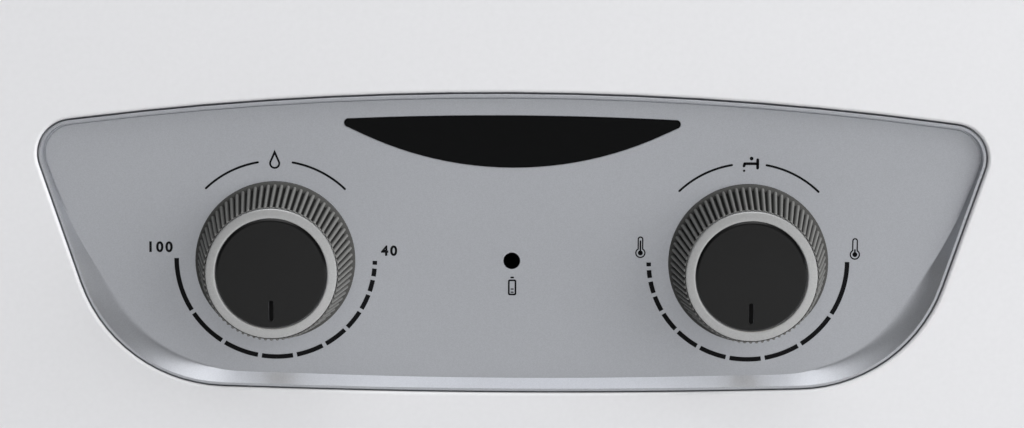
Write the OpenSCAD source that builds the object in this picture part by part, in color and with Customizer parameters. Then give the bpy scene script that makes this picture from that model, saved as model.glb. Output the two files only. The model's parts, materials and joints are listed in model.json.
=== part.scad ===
// Wall-hung gas water heater with a white sheet-metal front cover and a silver control panel.
// Millimetres. The origin lies on the wall, midway between the two hanging holes.
// +X is to the right as seen from the front, +Y runs into the wall, +Z is up.

/* [Casing] */
// Width of the front cover over its sides
casing_w = 310; // [300:1:360]
// Height of the front cover
casing_h = 580; // [550:1:680]
// Depth from the wall to the face of the front cover
casing_d = 190; // [186:1:230]
// Radius of the upright front edges
casing_edge_r = 26; // [10:1:32]
// Radius of the top and bottom front edges
casing_end_r = 14; // [6:1:20]
// Sheet thickness of the front cover
cover_sheet = 1; // [0.8:0.1:1.5]
// Gap between the rear edge of the cover and the wall
cover_wall_gap = 2.5; // [1:0.5:4]
// Depth of the strip of bottom wall left behind the cover's face
bottom_return = 16; // [15:1:20]
// Height of the casing's top above the hanging holes
top_over_hang = 60; // [50:1:75]

/* [Chassis] */
// Sheet thickness of the back plate
chassis_sheet = 1.2; // [1:0.1:2]
// Depth of the back plate's side flanges
side_flange = 45; // [42:1:60]
// Depth of the back plate's top and bottom flanges
end_flange = 28; // [15:1:32]
// Distance between the hanging holes
hang_spacing = 200; // [180:1:240]
// Diameter of the wall screw holes
wall_hole_d = 8; // [6:0.5:10]
// Height of the lower wall screw holes above the casing's bottom
low_hole_up = 60; // [50:1:80]
// Diameter of the cover screws
cover_screw_d = 4; // [3:0.5:5]
// Depth of the cover screws in front of the wall
cover_screw_out = 12; // [9:1:16]
// Distance of the cover screws from the ends of the casing
cover_screw_in = 70; // [50:1:90]
// Diameter of the bracket screws
bracket_screw_d = 4; // [3:0.5:5]

/* [Control panel] */
// Height of the line through both dials above the casing's bottom
dial_up = 105; // [98:1:130]
// Distance between the two dials
dial_spacing = 118.3; // [112:0.1:124]
// Width of the panel between its sharp upper corners
panel_w = 241.6; // [236:0.1:246]
// Height of the upper corners above the dial line
panel_corner_up = 34; // [32:0.5:36]
// Height of the crown's corner above the dial line
panel_crown_up = 49.5; // [47:0.5:52]
// Width of the panel between its sharp lower corners
panel_foot_w = 198.2; // [192:0.1:204]
// Depth of the lower corners below the dial line
panel_foot_down = 30.9; // [29:0.1:33]
// Depth of the keel's corner below the dial line
panel_keel_down = 33.6; // [33.2:0.1:35]
// Radius of the upper corners
panel_corner_r = 8.5; // [6:0.5:10]
// Radius of the lower corners
panel_foot_r = 38; // [30:1:42]
// Radius of the long top curve
panel_crown_r = 840; // [700:10:850]
// Radius of the long bottom curve
panel_keel_r = 2200; // [1200:50:2300]
// Depth of the dished panel floor below the panel's rim
dish_depth = 2.9; // [2:0.1:4]
// Width of the dish's sloping band along the top
dish_top_band = 1.5; // [1:0.1:3]
// Width of the dish's sloping band along the bottom
dish_bottom_band = 2.6; // [2:0.1:4]
// Width of the dish's sloping band along the sides
dish_side_band = 1.7; // [1:0.1:3]
// Radius of the dish floor's lower corners
dish_foot_r = 60; // [45:1:64]
// Thickness of the panel floor
panel_wall = 2; // [1.6:0.1:3]
// Depth of the panel's rim behind the cover's face
rim_recess = 0.3; // [0:0.1:1]
// Width of the flange that holds the panel behind the cover
panel_flange = 8; // [7:0.5:10]
// Diameter of the studs that hold the panel
stud_d = 3; // [2.5:0.1:4]
// Length of the studs that hold the panel
stud_len = 10; // [9:0.5:14]

/* [Badge and lamp] */
// Width of the badge between its sharp tips
badge_w = 90; // [84:1:94]
// Height of the badge's tips above the dial line
badge_tip_up = 35.6; // [34.5:0.1:36.5]
// Height of the badge's upper corner above its tips
badge_crown = 2; // [1:0.1:3]
// Depth of the badge's lower corner below its tips
badge_keel = 21.1; // [18:0.1:23]
// Radius of the badge's top curve
badge_crown_r = 850; // [400:10:880]
// Radius of the badge's bottom curve
badge_keel_r = 88; // [70:1:90]
// Radius of the badge's tips
badge_tip_r = 1; // [0.5:0.1:1.1]
// Thickness of the badge plate
badge_t = 1.4; // [1.2:0.1:2]
// Depth of the pocket that holds the badge
badge_pocket = 1; // [0.6:0.1:1.2]
// Diameter of the lamp hole in the panel
lamp_hole_d = 3.7; // [3.2:0.1:5]
// Diameter of the lamp
lamp_d = 3; // [2.5:0.1:3]
// Depth of the lamp's tip behind the panel floor
lamp_recess = 1.2; // [0.5:0.1:1.6]
// Length of the lamp holder behind the panel
lamp_holder_len = 9; // [7:0.5:14]

/* [Knobs] */
// Diameter of the knob's base
knob_base_d = 40; // [36:0.5:44]
// Height of the knob above the panel floor
knob_h = 20; // [18:0.5:24]
// Thickness of the plain rim at the knob's base
knob_rim = 1.4; // [1:0.1:2]
// Gap between the knob and the panel floor
knob_gap = 0.6; // [0.4:0.1:1]
// Diameter over the ribs at the base
rib_base_d = 38.8; // [36:0.1:39.4]
// Diameter over the ribs at the front
rib_front_d = 33.8; // [33.2:0.1:36]
// Depth of the ribs
rib_depth = 0.7; // [0.4:0.05:0.9]
// Number of ribs around a knob
rib_count = 72; // [48:1:90]
// Outer diameter of the knob's ring
ring_d = 32.4; // [31:0.1:33]
// Diameter of the knob's disc
disc_d = 27.6; // [25:0.1:28]
// Height of the ring
ring_h = 1.8; // [1.2:0.1:2.4]
// Depth of the disc's face behind the ring's face
disc_recess = 0.4; // [0.2:0.1:0.6]
// Length of the pointer cut in the disc
pointer_len = 5.7; // [4:0.1:8]
// Width of the pointer
pointer_w = 1.6; // [1:0.1:2]
// Wall of the hollow knob
knob_wall = 2; // [1.6:0.1:2.4]
// Diameter of the knob's hub
hub_d = 12; // [11:0.5:13]
// Length of the hub behind the panel floor
hub_back = 12; // [11:0.5:14]
// Wall of the bush that the hub turns in
bush_wall = 2.5; // [2:0.1:3]
// Length of the bush behind the panel
bush_back = 6; // [5:0.5:7]
// Thickness of the clip that keeps the knob in its bush
clip_t = 1.2; // [0.8:0.1:1.5]

/* [Flue] */
// Distance of the flue's centre from the wall
flue_out = 95; // [92:1:100]
// Inner diameter of the flue collar
flue_d = 111; // [105:1:115]
// Height of the collar above the casing
collar_up = 30; // [20:1:50]
// Sheet thickness of the collar and hood
hood_sheet = 1; // [0.8:0.1:1.5]
// Depth of the hood's top below the casing's top
hood_under_top = 18; // [12:1:25]
// Height of the draught hood
hood_h = 120; // [100:1:140]
// Height of the hood's upright skirt
hood_skirt = 22; // [20:1:26]
// Width of the relief opening in the hood's front
relief_w = 120; // [80:1:140]
// Height of the relief opening
relief_h = 26; // [15:1:35]

/* [Heat exchanger] */
// Width of the combustion chamber
chamber_w = 200; // [194:1:206]
// Depth of the combustion chamber
chamber_d = 110; // [108:1:114]
// Sheet thickness of the chamber
chamber_sheet = 1; // [0.8:0.1:1.5]
// Height of the fins
fin_h = 45; // [35:1:55]
// Thickness of a fin
fin_t = 0.8; // [0.5:0.1:1]
// Number of fins
fin_count = 30; // [20:1:36]
// Distance between the fin block's tubes
fin_tube_pitch = 26; // [25:0.5:27]
// Outer diameter of the water and gas pipes
pipe_d = 12.4; // [10:0.1:13]
// Bend radius of the pipes at their middle line
pipe_bend = 12; // [10:0.5:12.4]
// Passes of the pipe around the chamber
coil_passes = 3; // [3:2:5]
// Height of the first pass above the chamber's bottom
coil_first_up = 28; // [26:1:34]
// Distance of the last pass below the fins
coil_last_down = 22; // [18:1:30]

/* [Burner] */
// Height of the burner's bottom above the dial line
burner_up = 78; // [76:1:90]
// Height of the burner bars
burner_h = 40; // [36:1:48]
// Width of a burner bar
bar_w = 13; // [10:0.5:15]
// Number of burner bars
bar_count = 10; // [8:1:10]
// Sheet thickness of the burner tray
tray_sheet = 1; // [0.8:0.1:1.5]
// Diameter of the gas manifold
manifold_d = 18; // [16:0.5:20]
// Height of the injectors above the burner's bottom
injector_up = 16; // [15:0.5:20]
// Diameter of an injector
injector_d = 6.4; // [5:0.1:7]
// Length of an injector
injector_len = 6; // [5:0.5:8]
// Distance of the electrode and the flame sensor from the middle
electrode_x = 28; // [20:1:40]
// Height of the electrode and the flame sensor above the chamber's bottom
electrode_up = 10; // [8:1:12]

/* [Valves] */
// Distance of the valves' middle from the wall
valve_out = 110; // [104:1:116]
// Width of a valve block
valve_w = 50; // [46:1:52]
// Depth of a valve block
valve_d = 58; // [54:1:62]
// Height of a valve block above the dial line
valve_up = 30; // [26:1:34]
// Depth of a valve block below the dial line
valve_down = 38; // [36:1:42]
// Diameter of a spindle where it enters its knob
spindle_d = 6; // [5:0.5:7]
// Flat on the spindle, measured from its axis
spindle_flat = 2.2; // [1.8:0.1:2.4]
// Diameter of the plug at the spindle's rear
plug_d = 10; // [8:0.5:12]
// Depth of the plug's bore behind the valve's front boss
plug_depth = 33; // [24:1:36]
// Length of the spindle inside the knob, in front of the panel floor
spindle_in_knob = 8; // [5:0.5:10]
// Distance of the diaphragm's axis below the dial line
diaphragm_down = 8; // [6:1:8]
// Diameter of the diaphragm housing
diaphragm_d = 60; // [56:1:62]
// Thickness of the diaphragm
diaphragm_t = 1.6; // [1:0.1:2.5]
// Thickness of the diaphragm cover
diaphragm_cover_t = 14.4; // [13:0.1:15]
// Diameter of the push rod
rod_d = 6; // [5:0.5:7]
// Travel of the push rod
rod_travel = 2.5; // [1.5:0.1:3]
// Diameter of the solenoid
solenoid_d = 32; // [28:1:34]
// Length of the solenoid
solenoid_len = 36; // [32:1:38]
// Diameter of the solenoid's plunger
plunger_d = 10; // [8:0.5:11]
// Travel of the plunger
plunger_travel = 3; // [2:0.1:4]

/* [Connections] */
// Diameter of the threaded connections
thread_d = 20.96; // [20.96:0.01:26.44]
// Length of the threaded connections
thread_len = 20; // [15:1:24]
// Reach of the connections below the casing
stub_down = 25; // [20:1:40]
// Bore of the connections
stub_bore_d = 12; // [10:0.5:14]
// Gap between the pipe around the chamber and the hot pipe
hot_gap = 6.1; // [4:0.1:8]
// Width of a union nut across its corners
nut_d = 30; // [28:0.5:34]
// Thickness of a union nut
nut_h = 9; // [7:0.5:10]
// Height of the pipe bracket above the casing's bottom
bracket_up = 20; // [18:1:26]

/* [Battery] */
// Diameter of the battery cell
cell_d = 33.6; // [32.3:0.1:34.2]
// Length of the battery cell
cell_len = 61.5; // [59.5:0.1:61.5]
// Wall of the battery box and drawer at its thinnest
battery_wall = 1.8; // [1.5:0.1:2.2]
// Thickness of the drawer's floor
drawer_floor = 4; // [3:0.5:5]

/* [Fits] */
// Gap between the cover and the chassis on each side
slide_gap = 0.4; // [0.3:0.05:0.6]
// Gap around the panel and the badge
panel_gap = 0.4; // [0.3:0.05:0.6]
// Radial clearance of a running fit
run_gap = 0.05; // [0.03:0.01:0.08]
// Clearance of pieces that are fixed in place
seat_gap = 0.1; // [0.05:0.01:0.2]
// Clearance between a pipe and the hole it passes through
pipe_gap = 0.3; // [0.2:0.05:0.4]
// Clearance between two pieces that only come close
near_gap = 0.3; // [0.3:0.05:0.4]

/* [Hidden] */
$fn = 64;
eps = 0.01;
// Reach of a cut past the face that it opens
over = 1;
// Reach of a cut to each side of the sheet that it goes through
through = 10;
// Points on each rounded corner of an outline
arc_n = 8;
// Points on each bend of a pipe
bend_n = 5;
// Points on each turn of a spring
turn_n = 8;
// Sides of a pipe and of a lead
pipe_sides = 12;
lead_sides = 8;

// Levels
top_z = top_over_hang;
bot_z = top_z - casing_h;
dial_z = bot_z + dial_up;
rim_y = -(casing_d - rim_recess);
floor_y = rim_y + dish_depth;
inner_front_y = -(casing_d - cover_sheet);

// Chassis
chassis_half = casing_w / 2 - cover_sheet - slide_gap;
chassis_top = top_z - cover_sheet - slide_gap;
chassis_bot = bot_z + cover_sheet + slide_gap;
low_hole_z = bot_z + low_hole_up;
screw_head = 1.9;
screw_head_h = 2.2;
cover_screw_len = 8;
collar_slot_gap = 3;
collar_slot_round = 0.65;

// Control panel
panel_corners = [
    [panel_w / 2, panel_corner_up, panel_corner_r],
    [0, panel_crown_up, panel_crown_r],
    [-panel_w / 2, panel_corner_up, panel_corner_r],
    [-panel_foot_w / 2, -panel_foot_down, panel_foot_r],
    [0, -panel_keel_down, panel_keel_r],
    [panel_foot_w / 2, -panel_foot_down, panel_foot_r]
];
dish_corners = [
    [panel_w / 2 - dish_side_band, panel_corner_up - dish_top_band, panel_corner_r - 1],
    [0, panel_crown_up - dish_top_band, panel_crown_r],
    [-panel_w / 2 + dish_side_band, panel_corner_up - dish_top_band, panel_corner_r - 1],
    [-panel_foot_w / 2 + dish_side_band, -panel_foot_down + dish_bottom_band, dish_foot_r],
    [0, -panel_keel_down + dish_bottom_band, panel_keel_r * 0.7],
    [panel_foot_w / 2 - dish_side_band, -panel_foot_down + dish_bottom_band, dish_foot_r]
];
badge_corners = [
    [badge_w / 2, badge_tip_up, badge_tip_r],
    [0, badge_tip_up + badge_crown, badge_crown_r],
    [-badge_w / 2, badge_tip_up, badge_tip_r],
    [0, badge_tip_up - badge_keel, badge_keel_r]
];
// Width of the flat rim round the dish
rim_w = 0.8;
// Studs lie in the middle of the flange outside the panel's opening
stud_out = panel_flange / 2;
stud_spots = [
    [panel_w / 4, 0, 1],
    [-panel_w / 4, 0, 1],
    [panel_foot_w / 4, 0, -1],
    [-panel_foot_w / 4, 0, -1]
];
nut_over_stud = 2;
lamp_holder_wall = 2.5;
stud_nut_h = 2.4;

// Knobs
hub_r = hub_d / 2;
bush_r = hub_r + run_gap + bush_wall;
bush_flange_w = 2.5;
bush_flange_r = bush_r + bush_flange_w;
bush_flange_t = 1.5;
clip_groove = 1;
clip_w = clip_t + seat_gap * 2;
clip_at = -(panel_wall + bush_back + near_gap + clip_t);

// Flue and heat exchanger
flue_r = flue_d / 2;
hood_z1 = top_z - hood_under_top;
hood_z0 = hood_z1 - hood_h;
collar_flange = 6;
relief_up = 5;
burner_z0 = dial_z + burner_up;
tray_over_bars = 3;
chamber_z0 = burner_z0 + burner_h + tray_over_bars;
chamber_z1 = hood_z0;
chamber_front = -flue_out - chamber_d / 2;
chamber_rear = -flue_out + chamber_d / 2;
fin_margin = 2;
u_bend_out = 3;
fin_z1 = chamber_z1 - fin_margin;
fin_z0 = fin_z1 - fin_h;
fin_tube_z = (fin_z0 + fin_z1) / 2;
pipe_r = pipe_d / 2;
coil_off = pipe_r + near_gap;
// The chamber's upright edges are rounded about the same centres as the pipe's bends
chamber_corner_r = pipe_bend - coil_off;
coil_x = chamber_w / 2 + coil_off;
hot_x = coil_x + pipe_d + hot_gap;
coil_front_y = chamber_front - coil_off;
coil_rear_y = -flue_out + 1.5 * fin_tube_pitch;
coil_z0 = chamber_z0 + coil_first_up;
coil_z1 = fin_z0 - coil_last_down;
coil_step = (coil_z1 - coil_z0) / (coil_passes - 1);
coil_start_up = 10;
coil_start_z = burner_z0 + coil_start_up;
header_wall = 1.6;
header_half = pipe_r + header_wall;
header_x = chamber_w / 2 + near_gap;
switch_shift = 45;
thermal_flange_r = 11;
thermal_flange_t = 2;
thermal_can_r = 8;
thermal_can_h = 5;
thermal_tab_x = 4;
thermal_tab_w = 3;
thermal_tab_t = 0.8;
thermal_tab_len = 6;
// Stretch of the last fin tube outside the chamber, up to its joint with the hot pipe
hot_join = 4;

// Burner
tray_in = 2;
tray_half = chamber_w / 2 - tray_in;
bar_end_gap = 1;
bar_pitch = (2 * (tray_half - tray_sheet - bar_end_gap) - bar_w) / (bar_count - 1);
throat_gap = 1;
throat_r = injector_d / 2 + throat_gap;
throat_len = 40;
flame_slot_w = 2;
flame_slot_deep = 4;
flame_slot_in = 6;
strip_in = 16;
injector_z = burner_z0 + injector_up;
injector_gap = 1;
injector_y0 = chamber_front - injector_gap;
injector_y1 = injector_y0 - injector_len;
manifold_r = manifold_d / 2;
manifold_flat = 1;
manifold_y = injector_y1 - manifold_r + manifold_flat;
manifold_boss_wall = 2;
manifold_boss_r = pipe_r + manifold_boss_wall;
manifold_boss_len = 4;
manifold_boss_z = injector_z - manifold_r - manifold_boss_len;
lug_in = 6;
lug_half = 5;
lug_t = 4;
strip_t = 1.2;
strip_w = 12;
electrode_z = chamber_z0 + electrode_up;
electrode_r = 3.2;
electrode_out = 15;
electrode_in = 20;
electrode_sleeve_in = 6;
electrode_pin_r = 1.2;
electrode_collar_r = 5;
electrode_collar_t = 2;

// Valves
gas_x = -dial_spacing / 2;
water_x = dial_spacing / 2;
valve_y = -valve_out;
valve_front = valve_y - valve_d / 2;
valve_rear = valve_y + valve_d / 2;
boss_len = 8;
boss_wall = 6;
outlet_wall = 5;
inlet_wall = 3;
boss_y = valve_front - boss_len;
spindle_r = spindle_d / 2;
plug_r = plug_d / 2;
spindle_tip_y = floor_y - spindle_in_knob;
outlet_boss = 6;
pipe_start_z = dial_z + valve_up + outlet_boss;
stub_top_z = dial_z - valve_down - boss_len;
pipe_rise = 4;
pipe_level_z = pipe_start_z + nut_h + pipe_bend + pipe_rise;
hot_drop = 30;
axis_z = dial_z - diaphragm_down;
flange_t = 8;
flange_x = water_x - valve_w / 2 - flange_t;
diaphragm_x = flange_x - diaphragm_t;
dia_cover_x = diaphragm_x - diaphragm_cover_t;
dia_wall = 3;
dia_rim = 8;
dia_cavity_r = diaphragm_d / 2 - dia_rim;
dia_cavity_deep = 4;
rod_r = rod_d / 2;
rod_out = 6;
gland_len = 6;
gland_wall = 4;
gland_r = rod_r + gland_wall;
rod_tip = dia_cover_x - gland_len - rod_out;
plate_t = 2.5;
plate_x = diaphragm_x - near_gap - plate_t;
plate_clear = 4;
plate_r = dia_cavity_r - plate_clear;
dia_screw_n = 6;
dia_screw_r = 1.9;
dia_screw_pcr = (diaphragm_d - dia_rim) / 2;
dia_screw_in = 5;
dia_screw_len = diaphragm_cover_t + diaphragm_t + dia_screw_in;

// Microswitch
button_r = 2;
button_out = 5.7;
switch_x = rod_tip - near_gap - button_out;
switch_len = 18;
switch_half = 8;
switch_down = 14;
switch_up = 12;
button_in = 8;
bracket_t = 1.5;
tab_down = 15;

// Solenoid
solenoid_boss = 6;
solenoid_y = valve_rear + solenoid_boss;
solenoid_r = solenoid_d / 2;
plunger_r = plunger_d / 2;
solenoid_step = 2;
valve_disc_r = 8;
valve_disc_t = 4;
spring_room = 7;
seat_y = solenoid_y - spring_room - plunger_travel - valve_disc_t - near_gap;
seat_clear = 1;
seat_bore_r = valve_disc_r + seat_clear;
seat_hole_r = 4;
seat_hole_len = 12;
plunger_in = 24;
plunger_end_gap = 1;
plunger_bore = plunger_in + plunger_travel + plunger_end_gap;

// Springs
spring_wire = 0.8;
spring_sides = 6;
dia_spring_turns = 4;
dia_spring_over = 5;
dia_spring_r = rod_r + dia_spring_over;
plunger_spring_turns = 3;
plunger_spring_over = 1.6;
plunger_spring_r = plunger_r + plunger_spring_over;

// Connections
stub_r = 11;
neck_in = 0.6;
neck_r = thread_d / 2 - neck_in;
thread_z = bot_z - stub_down;
bracket_z = bot_z + bracket_up;
pipe_bracket_t = 1.5;
collar_h = 8;
stub_end = 10;
pipe_bracket_over = 17;
small_nut_less = 5;

// Battery
drawer_half = cell_d / 2 + seat_gap * 2 + battery_wall;
box_in = drawer_half + near_gap;
box_half = box_in + battery_wall;
box_x = chassis_half - chassis_sheet - box_half;
box_lap = 8;
box_y = -side_flange - box_half + box_lap;
box_z0 = bot_z + drawer_floor + near_gap;
cell_z = bot_z + drawer_floor;
cell_cap = 1.5;
cell_cap_d = 9.5;
cell_shows = 4;
box_roof = 3;
contact_room = 6;
box_top = cell_z + cell_len + contact_room + box_roof;
contact_t = 0.6;
contact_w = 5;

// Ignition unit
unit_w = 70;
unit_h = 50;
unit_d = 36;
unit_corner_r = 4;
unit_x = 40;
unit_drop = 10;
unit_z = pipe_level_z - unit_drop;

// Leads
lead_r = 2;
lead_bend = 8;
lead_clear = 4;
lead_front_y = manifold_y - manifold_r - lead_r - lead_clear;
lead_drop = 8;
lead_low_z = pipe_level_z - lead_drop;
sensor_in = 10;
lead_turn_y = -60;
electrode_tip_y = chamber_front - electrode_out;

// Brackets
bracket_plate_w = 24;
bracket_plate_h = 30;
exchanger_bracket_x = 70;
exchanger_bracket_z = (chamber_z0 + chamber_z1) / 2;
burner_bracket_x = 60;
burner_bracket_z = burner_z0 + burner_h / 2;
bracket_screw_down = 9;

// Outlines

function unit(v) = v / norm(v);
function flat(p) = [p[0], p[1]];
function cross2(a, b) = a[0] * b[1] - a[1] * b[0];

// Points of the arc that rounds the corner p between its neighbours a and b
function corner_arc(a, p, b) =
    p[2] <= 0 ? [flat(p)] :
    let (
        to_a = unit(flat(a) - flat(p)),
        to_b = unit(flat(b) - flat(p)),
        half = acos(to_a * to_b) / 2,
        centre = flat(p) + unit(to_a + to_b) * p[2] / sin(half),
        start = flat(p) + to_a * p[2] / tan(half) - centre,
        turn = (180 - 2 * half) * sign(cross2(-to_a, to_b))
    )
    [for (i = [0:arc_n])
        let (t = turn * i / arc_n)
        centre + [start[0] * cos(t) - start[1] * sin(t), start[0] * sin(t) + start[1] * cos(t)]];

// Outline through a list of corners, each [x, y, radius]
function rounded(corners) =
    let (n = len(corners))
    [for (i = [0:n - 1])
        each corner_arc(corners[(i + n - 1) % n], corners[i], corners[(i + 1) % n])];

// An outline moved outwards by d
function grown(pts, d) =
    let (n = len(pts))
    [for (i = [0:n - 1])
        let (
            before = unit(pts[i] - pts[(i + n - 1) % n]),
            after = unit(pts[(i + 1) % n] - pts[i]),
            along = unit(before + after)
        )
        pts[i] + d * [along[1], -along[0]]];

// Point where the outline crosses the upright line at x, on the side given by s
function crossing(pts, x, s) =
    let (n = len(pts))
    [for (i = [0:n - 1])
        let (a = pts[i], b = pts[(i + 1) % n])
        if ((a[0] - x) * (b[0] - x) <= 0 && s * (a[1] + b[1]) > 0 && a[0] != b[0])
            a + (b - a) * (x - a[0]) / (b[0] - a[0])][0];

panel_pts = rounded(panel_corners);
dish_pts = rounded(dish_corners);
badge_pts = rounded(badge_corners);

// Tubes

// Points of the bend at p between its neighbours a and b
function bend_arc(a, p, b, r) =
    let (
        to_a = unit(a - p),
        to_b = unit(b - p),
        half = acos(to_a * to_b) / 2,
        centre = p + unit(to_a + to_b) * r / sin(half),
        start = p + to_a * r / tan(half) - centre,
        end = p + to_b * r / tan(half) - centre,
        turn = 180 - 2 * half
    )
    [for (i = [0:bend_n])
        let (t = turn * i / bend_n)
        centre + (start * sin(turn - t) + end * sin(t)) / sin(turn)];

// A route with each of its corners bent to the radius r
function bent(route, r) =
    let (n = len(route))
    [route[0], for (i = [1:n - 2]) each bend_arc(route[i - 1], route[i], route[i + 1], r), route[n - 1]];

function heading(pts, i) =
    let (n = len(pts))
    i == 0 ? unit(pts[1] - pts[0]) :
    i == n - 1 ? unit(pts[i] - pts[i - 1]) :
    unit(unit(pts[i + 1] - pts[i]) + unit(pts[i] - pts[i - 1]));

function square_to(v) = unit(abs(v[2]) < 0.9 ? cross(v, [0, 0, 1]) : cross(v, [1, 0, 0]));
function levelled(u, v) = unit(u - v * (u * v));

// Side direction of each ring, carried along the route without twist
function sides_along(pts) =
    [for (i = 0, u = square_to(heading(pts, 0)); i < len(pts);
        i = i + 1, u = i < len(pts) ? levelled(u, heading(pts, i)) : u) u];

module tube(pts, r, sides) {
    n = len(pts);
    side = sides_along(pts);
    rings = [for (i = [0:n - 1], k = [0:sides - 1])
        let (t = heading(pts, i), a = 360 * k / sides)
        pts[i] + r * (side[i] * cos(a) + cross(t, side[i]) * sin(a))];
    walls = [for (i = [0:n - 2], k = [0:sides - 1])
        let (a = i * sides + k, b = i * sides + (k + 1) % sides)
        each [[a, a + sides, b], [b, a + sides, b + sides]]];
    near_end = [for (k = [0:sides - 1]) k];
    far_end = [for (k = [sides - 1:-1:0]) (n - 1) * sides + k];
    polyhedron(rings, concat(walls, [near_end], [far_end]));
}

// Points of a spring along +Z
function helix(r, length, turns) =
    let (steps = turns * turn_n, step = 360 / turn_n)
    [for (i = [0:steps]) [r * cos(step * i), r * sin(step * i), length * i / steps]];

// Least gap between a spring's turns, measured on its points
function coil_gap(pts, wire) =
    let (n = len(pts), half = floor(turn_n / 2))
    min([for (i = [0:n - 1 - half], k = [i + half:n - 1]) norm(pts[i] - pts[k])]) - wire;

// Solid between outlines with equally many points, each at its own height
module loft(outlines, heights) {
    n = len(outlines[0]);
    layers = len(outlines);
    pts = [for (j = [0:layers - 1], p = outlines[j]) [p[0], p[1], heights[j]]];
    walls = [for (j = [0:layers - 2], k = [0:n - 1])
        let (a = j * n + k, b = j * n + (k + 1) % n)
        each [[a, a + n, b], [b, a + n, b + n]]];
    bottom = [for (k = [0:n - 1]) k];
    top = [for (k = [n - 1:-1:0]) (layers - 1) * n + k];
    polyhedron(pts, concat(walls, [bottom], [top]));
}

// Placing

// Local x to the right, local y up, local z out towards the front, from the panel floor
module on_panel(x = 0) {
    translate([x, floor_y, dial_z]) rotate([90, 0, 0]) children();
}
module along_x(x, y, z) {
    translate([x, y, z]) rotate([0, 90, 0]) children();
}
module along_y(x, y, z) {
    translate([x, y, z]) rotate([-90, 0, 0]) children();
}
module box(x0, x1, y0, y1, z0, z1) {
    translate([x0, y0, z0]) cube([x1 - x0, y1 - y0, z1 - z0]);
}
module both_sides() {
    children();
    mirror([1, 0, 0]) children();
}
module hex(d, h) {
    cylinder(d = d, h = h, $fn = 6);
}
module pipe_ring(r_in, r_out, h) {
    difference() {
        cylinder(r = r_out, h = h);
        translate([0, 0, -over]) cylinder(r = r_in, h = h + 2 * over);
    }
}

// Casing

// The casing's outline from above, smaller by inset
function casing_plan(inset, rear_y) =
    let (
        half = casing_w / 2 - inset,
        front = -casing_d + inset,
        edge = casing_edge_r - inset
    )
    rounded([[half, front, edge], [half, rear_y, 0], [-half, rear_y, 0], [-half, front, edge]]);

// Block with the casing's rounded edges, smaller by inset, reaching back to the plane at rear_y
module casing_block(inset, rear_y) {
    front = -casing_d + inset;
    end = casing_end_r - inset;
    side = rounded([[front, bot_z + inset, end], [rear_y + over, bot_z + inset, 0],
        [rear_y + over, top_z - inset, 0], [front, top_z - inset, end]]);
    intersection() {
        translate([0, 0, bot_z - over]) linear_extrude(casing_h + 2 * over)
            polygon(casing_plan(inset, rear_y));
        rotate([90, 0, 90]) translate([0, 0, -casing_w]) linear_extrude(2 * casing_w) polygon(side);
    }
}

cover_screw_zs = [bot_z + cover_screw_in, top_z - cover_screw_in];

module front_cover() {
    slot_half = flue_r + hood_sheet + collar_slot_gap;
    slot_r = collar_slot_round * slot_half;
    notch = cover_screw_d / 2 + near_gap;
    color("white") {
        difference() {
            casing_block(0, -cover_wall_gap);
            casing_block(cover_sheet, over);
            // Opening for the control panel
            on_panel() translate([0, 0, -through]) linear_extrude(2 * through)
                polygon(grown(panel_pts, panel_gap));
            // Slot that lets the cover pass the flue collar
            translate([0, 0, top_z - through]) linear_extrude(2 * through) polygon(rounded([
                [-slot_half, -flue_out - slot_half, slot_r], [slot_half, -flue_out - slot_half, slot_r],
                [slot_half, over, 0], [-slot_half, over, 0]]));
            // Open bottom behind the front strip
            intersection() {
                translate([0, 0, bot_z - over]) linear_extrude(casing_end_r)
                    polygon(casing_plan(cover_sheet, over));
                box(-casing_w, casing_w, -casing_d + bottom_return, over, bot_z - over, bot_z + casing_end_r);
            }
            // Notches for the cover screws
            for (z = cover_screw_zs) {
                along_x(-casing_w, -cover_screw_out, z) cylinder(r = notch, h = 2 * casing_w);
                box(-casing_w, casing_w, -cover_screw_out, over, z - notch, z + notch);
            }
        }
        for (spot = stud_spots)
            at_stud(spot) translate([0, 0, -stud_len]) cylinder(d = stud_d, h = stud_len + eps);
    }
}

// A stud's place behind the cover's face, local z towards the front
module at_stud(spot) {
    edge = crossing(panel_pts, spot[0], spot[2]);
    translate([edge[0], inner_front_y, dial_z + edge[1] + spot[2] * (stud_out + panel_gap)])
        rotate([90, 0, 0]) children();
}

module back_plate() {
    color("lightgray") difference() {
        union() {
            box(-chassis_half, chassis_half, -chassis_sheet, 0, chassis_bot, chassis_top);
            both_sides() box(chassis_half - chassis_sheet, chassis_half, -side_flange, 0,
                chassis_bot, chassis_top);
            box(-chassis_half, chassis_half, -end_flange, 0, chassis_top - chassis_sheet, chassis_top);
            box(-chassis_half, chassis_half, -end_flange, 0, chassis_bot, chassis_bot + chassis_sheet);
        }
        for (x = [-hang_spacing / 2, hang_spacing / 2], z = [0, low_hole_z])
            along_y(x, -through, z) cylinder(d = wall_hole_d, h = 2 * through);
        for (z = cover_screw_zs)
            along_x(-casing_w, -cover_screw_out, z)
                cylinder(d = cover_screw_d + 2 * seat_gap, h = 2 * casing_w);
        for (spot = bracket_screw_spots())
            along_y(spot[0], -through, spot[1])
                cylinder(d = bracket_screw_d + 2 * seat_gap, h = 2 * through);
    }
}

module cover_screws() {
    color("silver") for (z = cover_screw_zs) both_sides() {
        along_x(casing_w / 2 - cover_screw_len, -cover_screw_out, z)
            cylinder(d = cover_screw_d, h = cover_screw_len + near_gap);
        along_x(casing_w / 2 + near_gap, -cover_screw_out, z)
            cylinder(d = cover_screw_d * screw_head, h = screw_head_h);
    }
}

// Control panel

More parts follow.
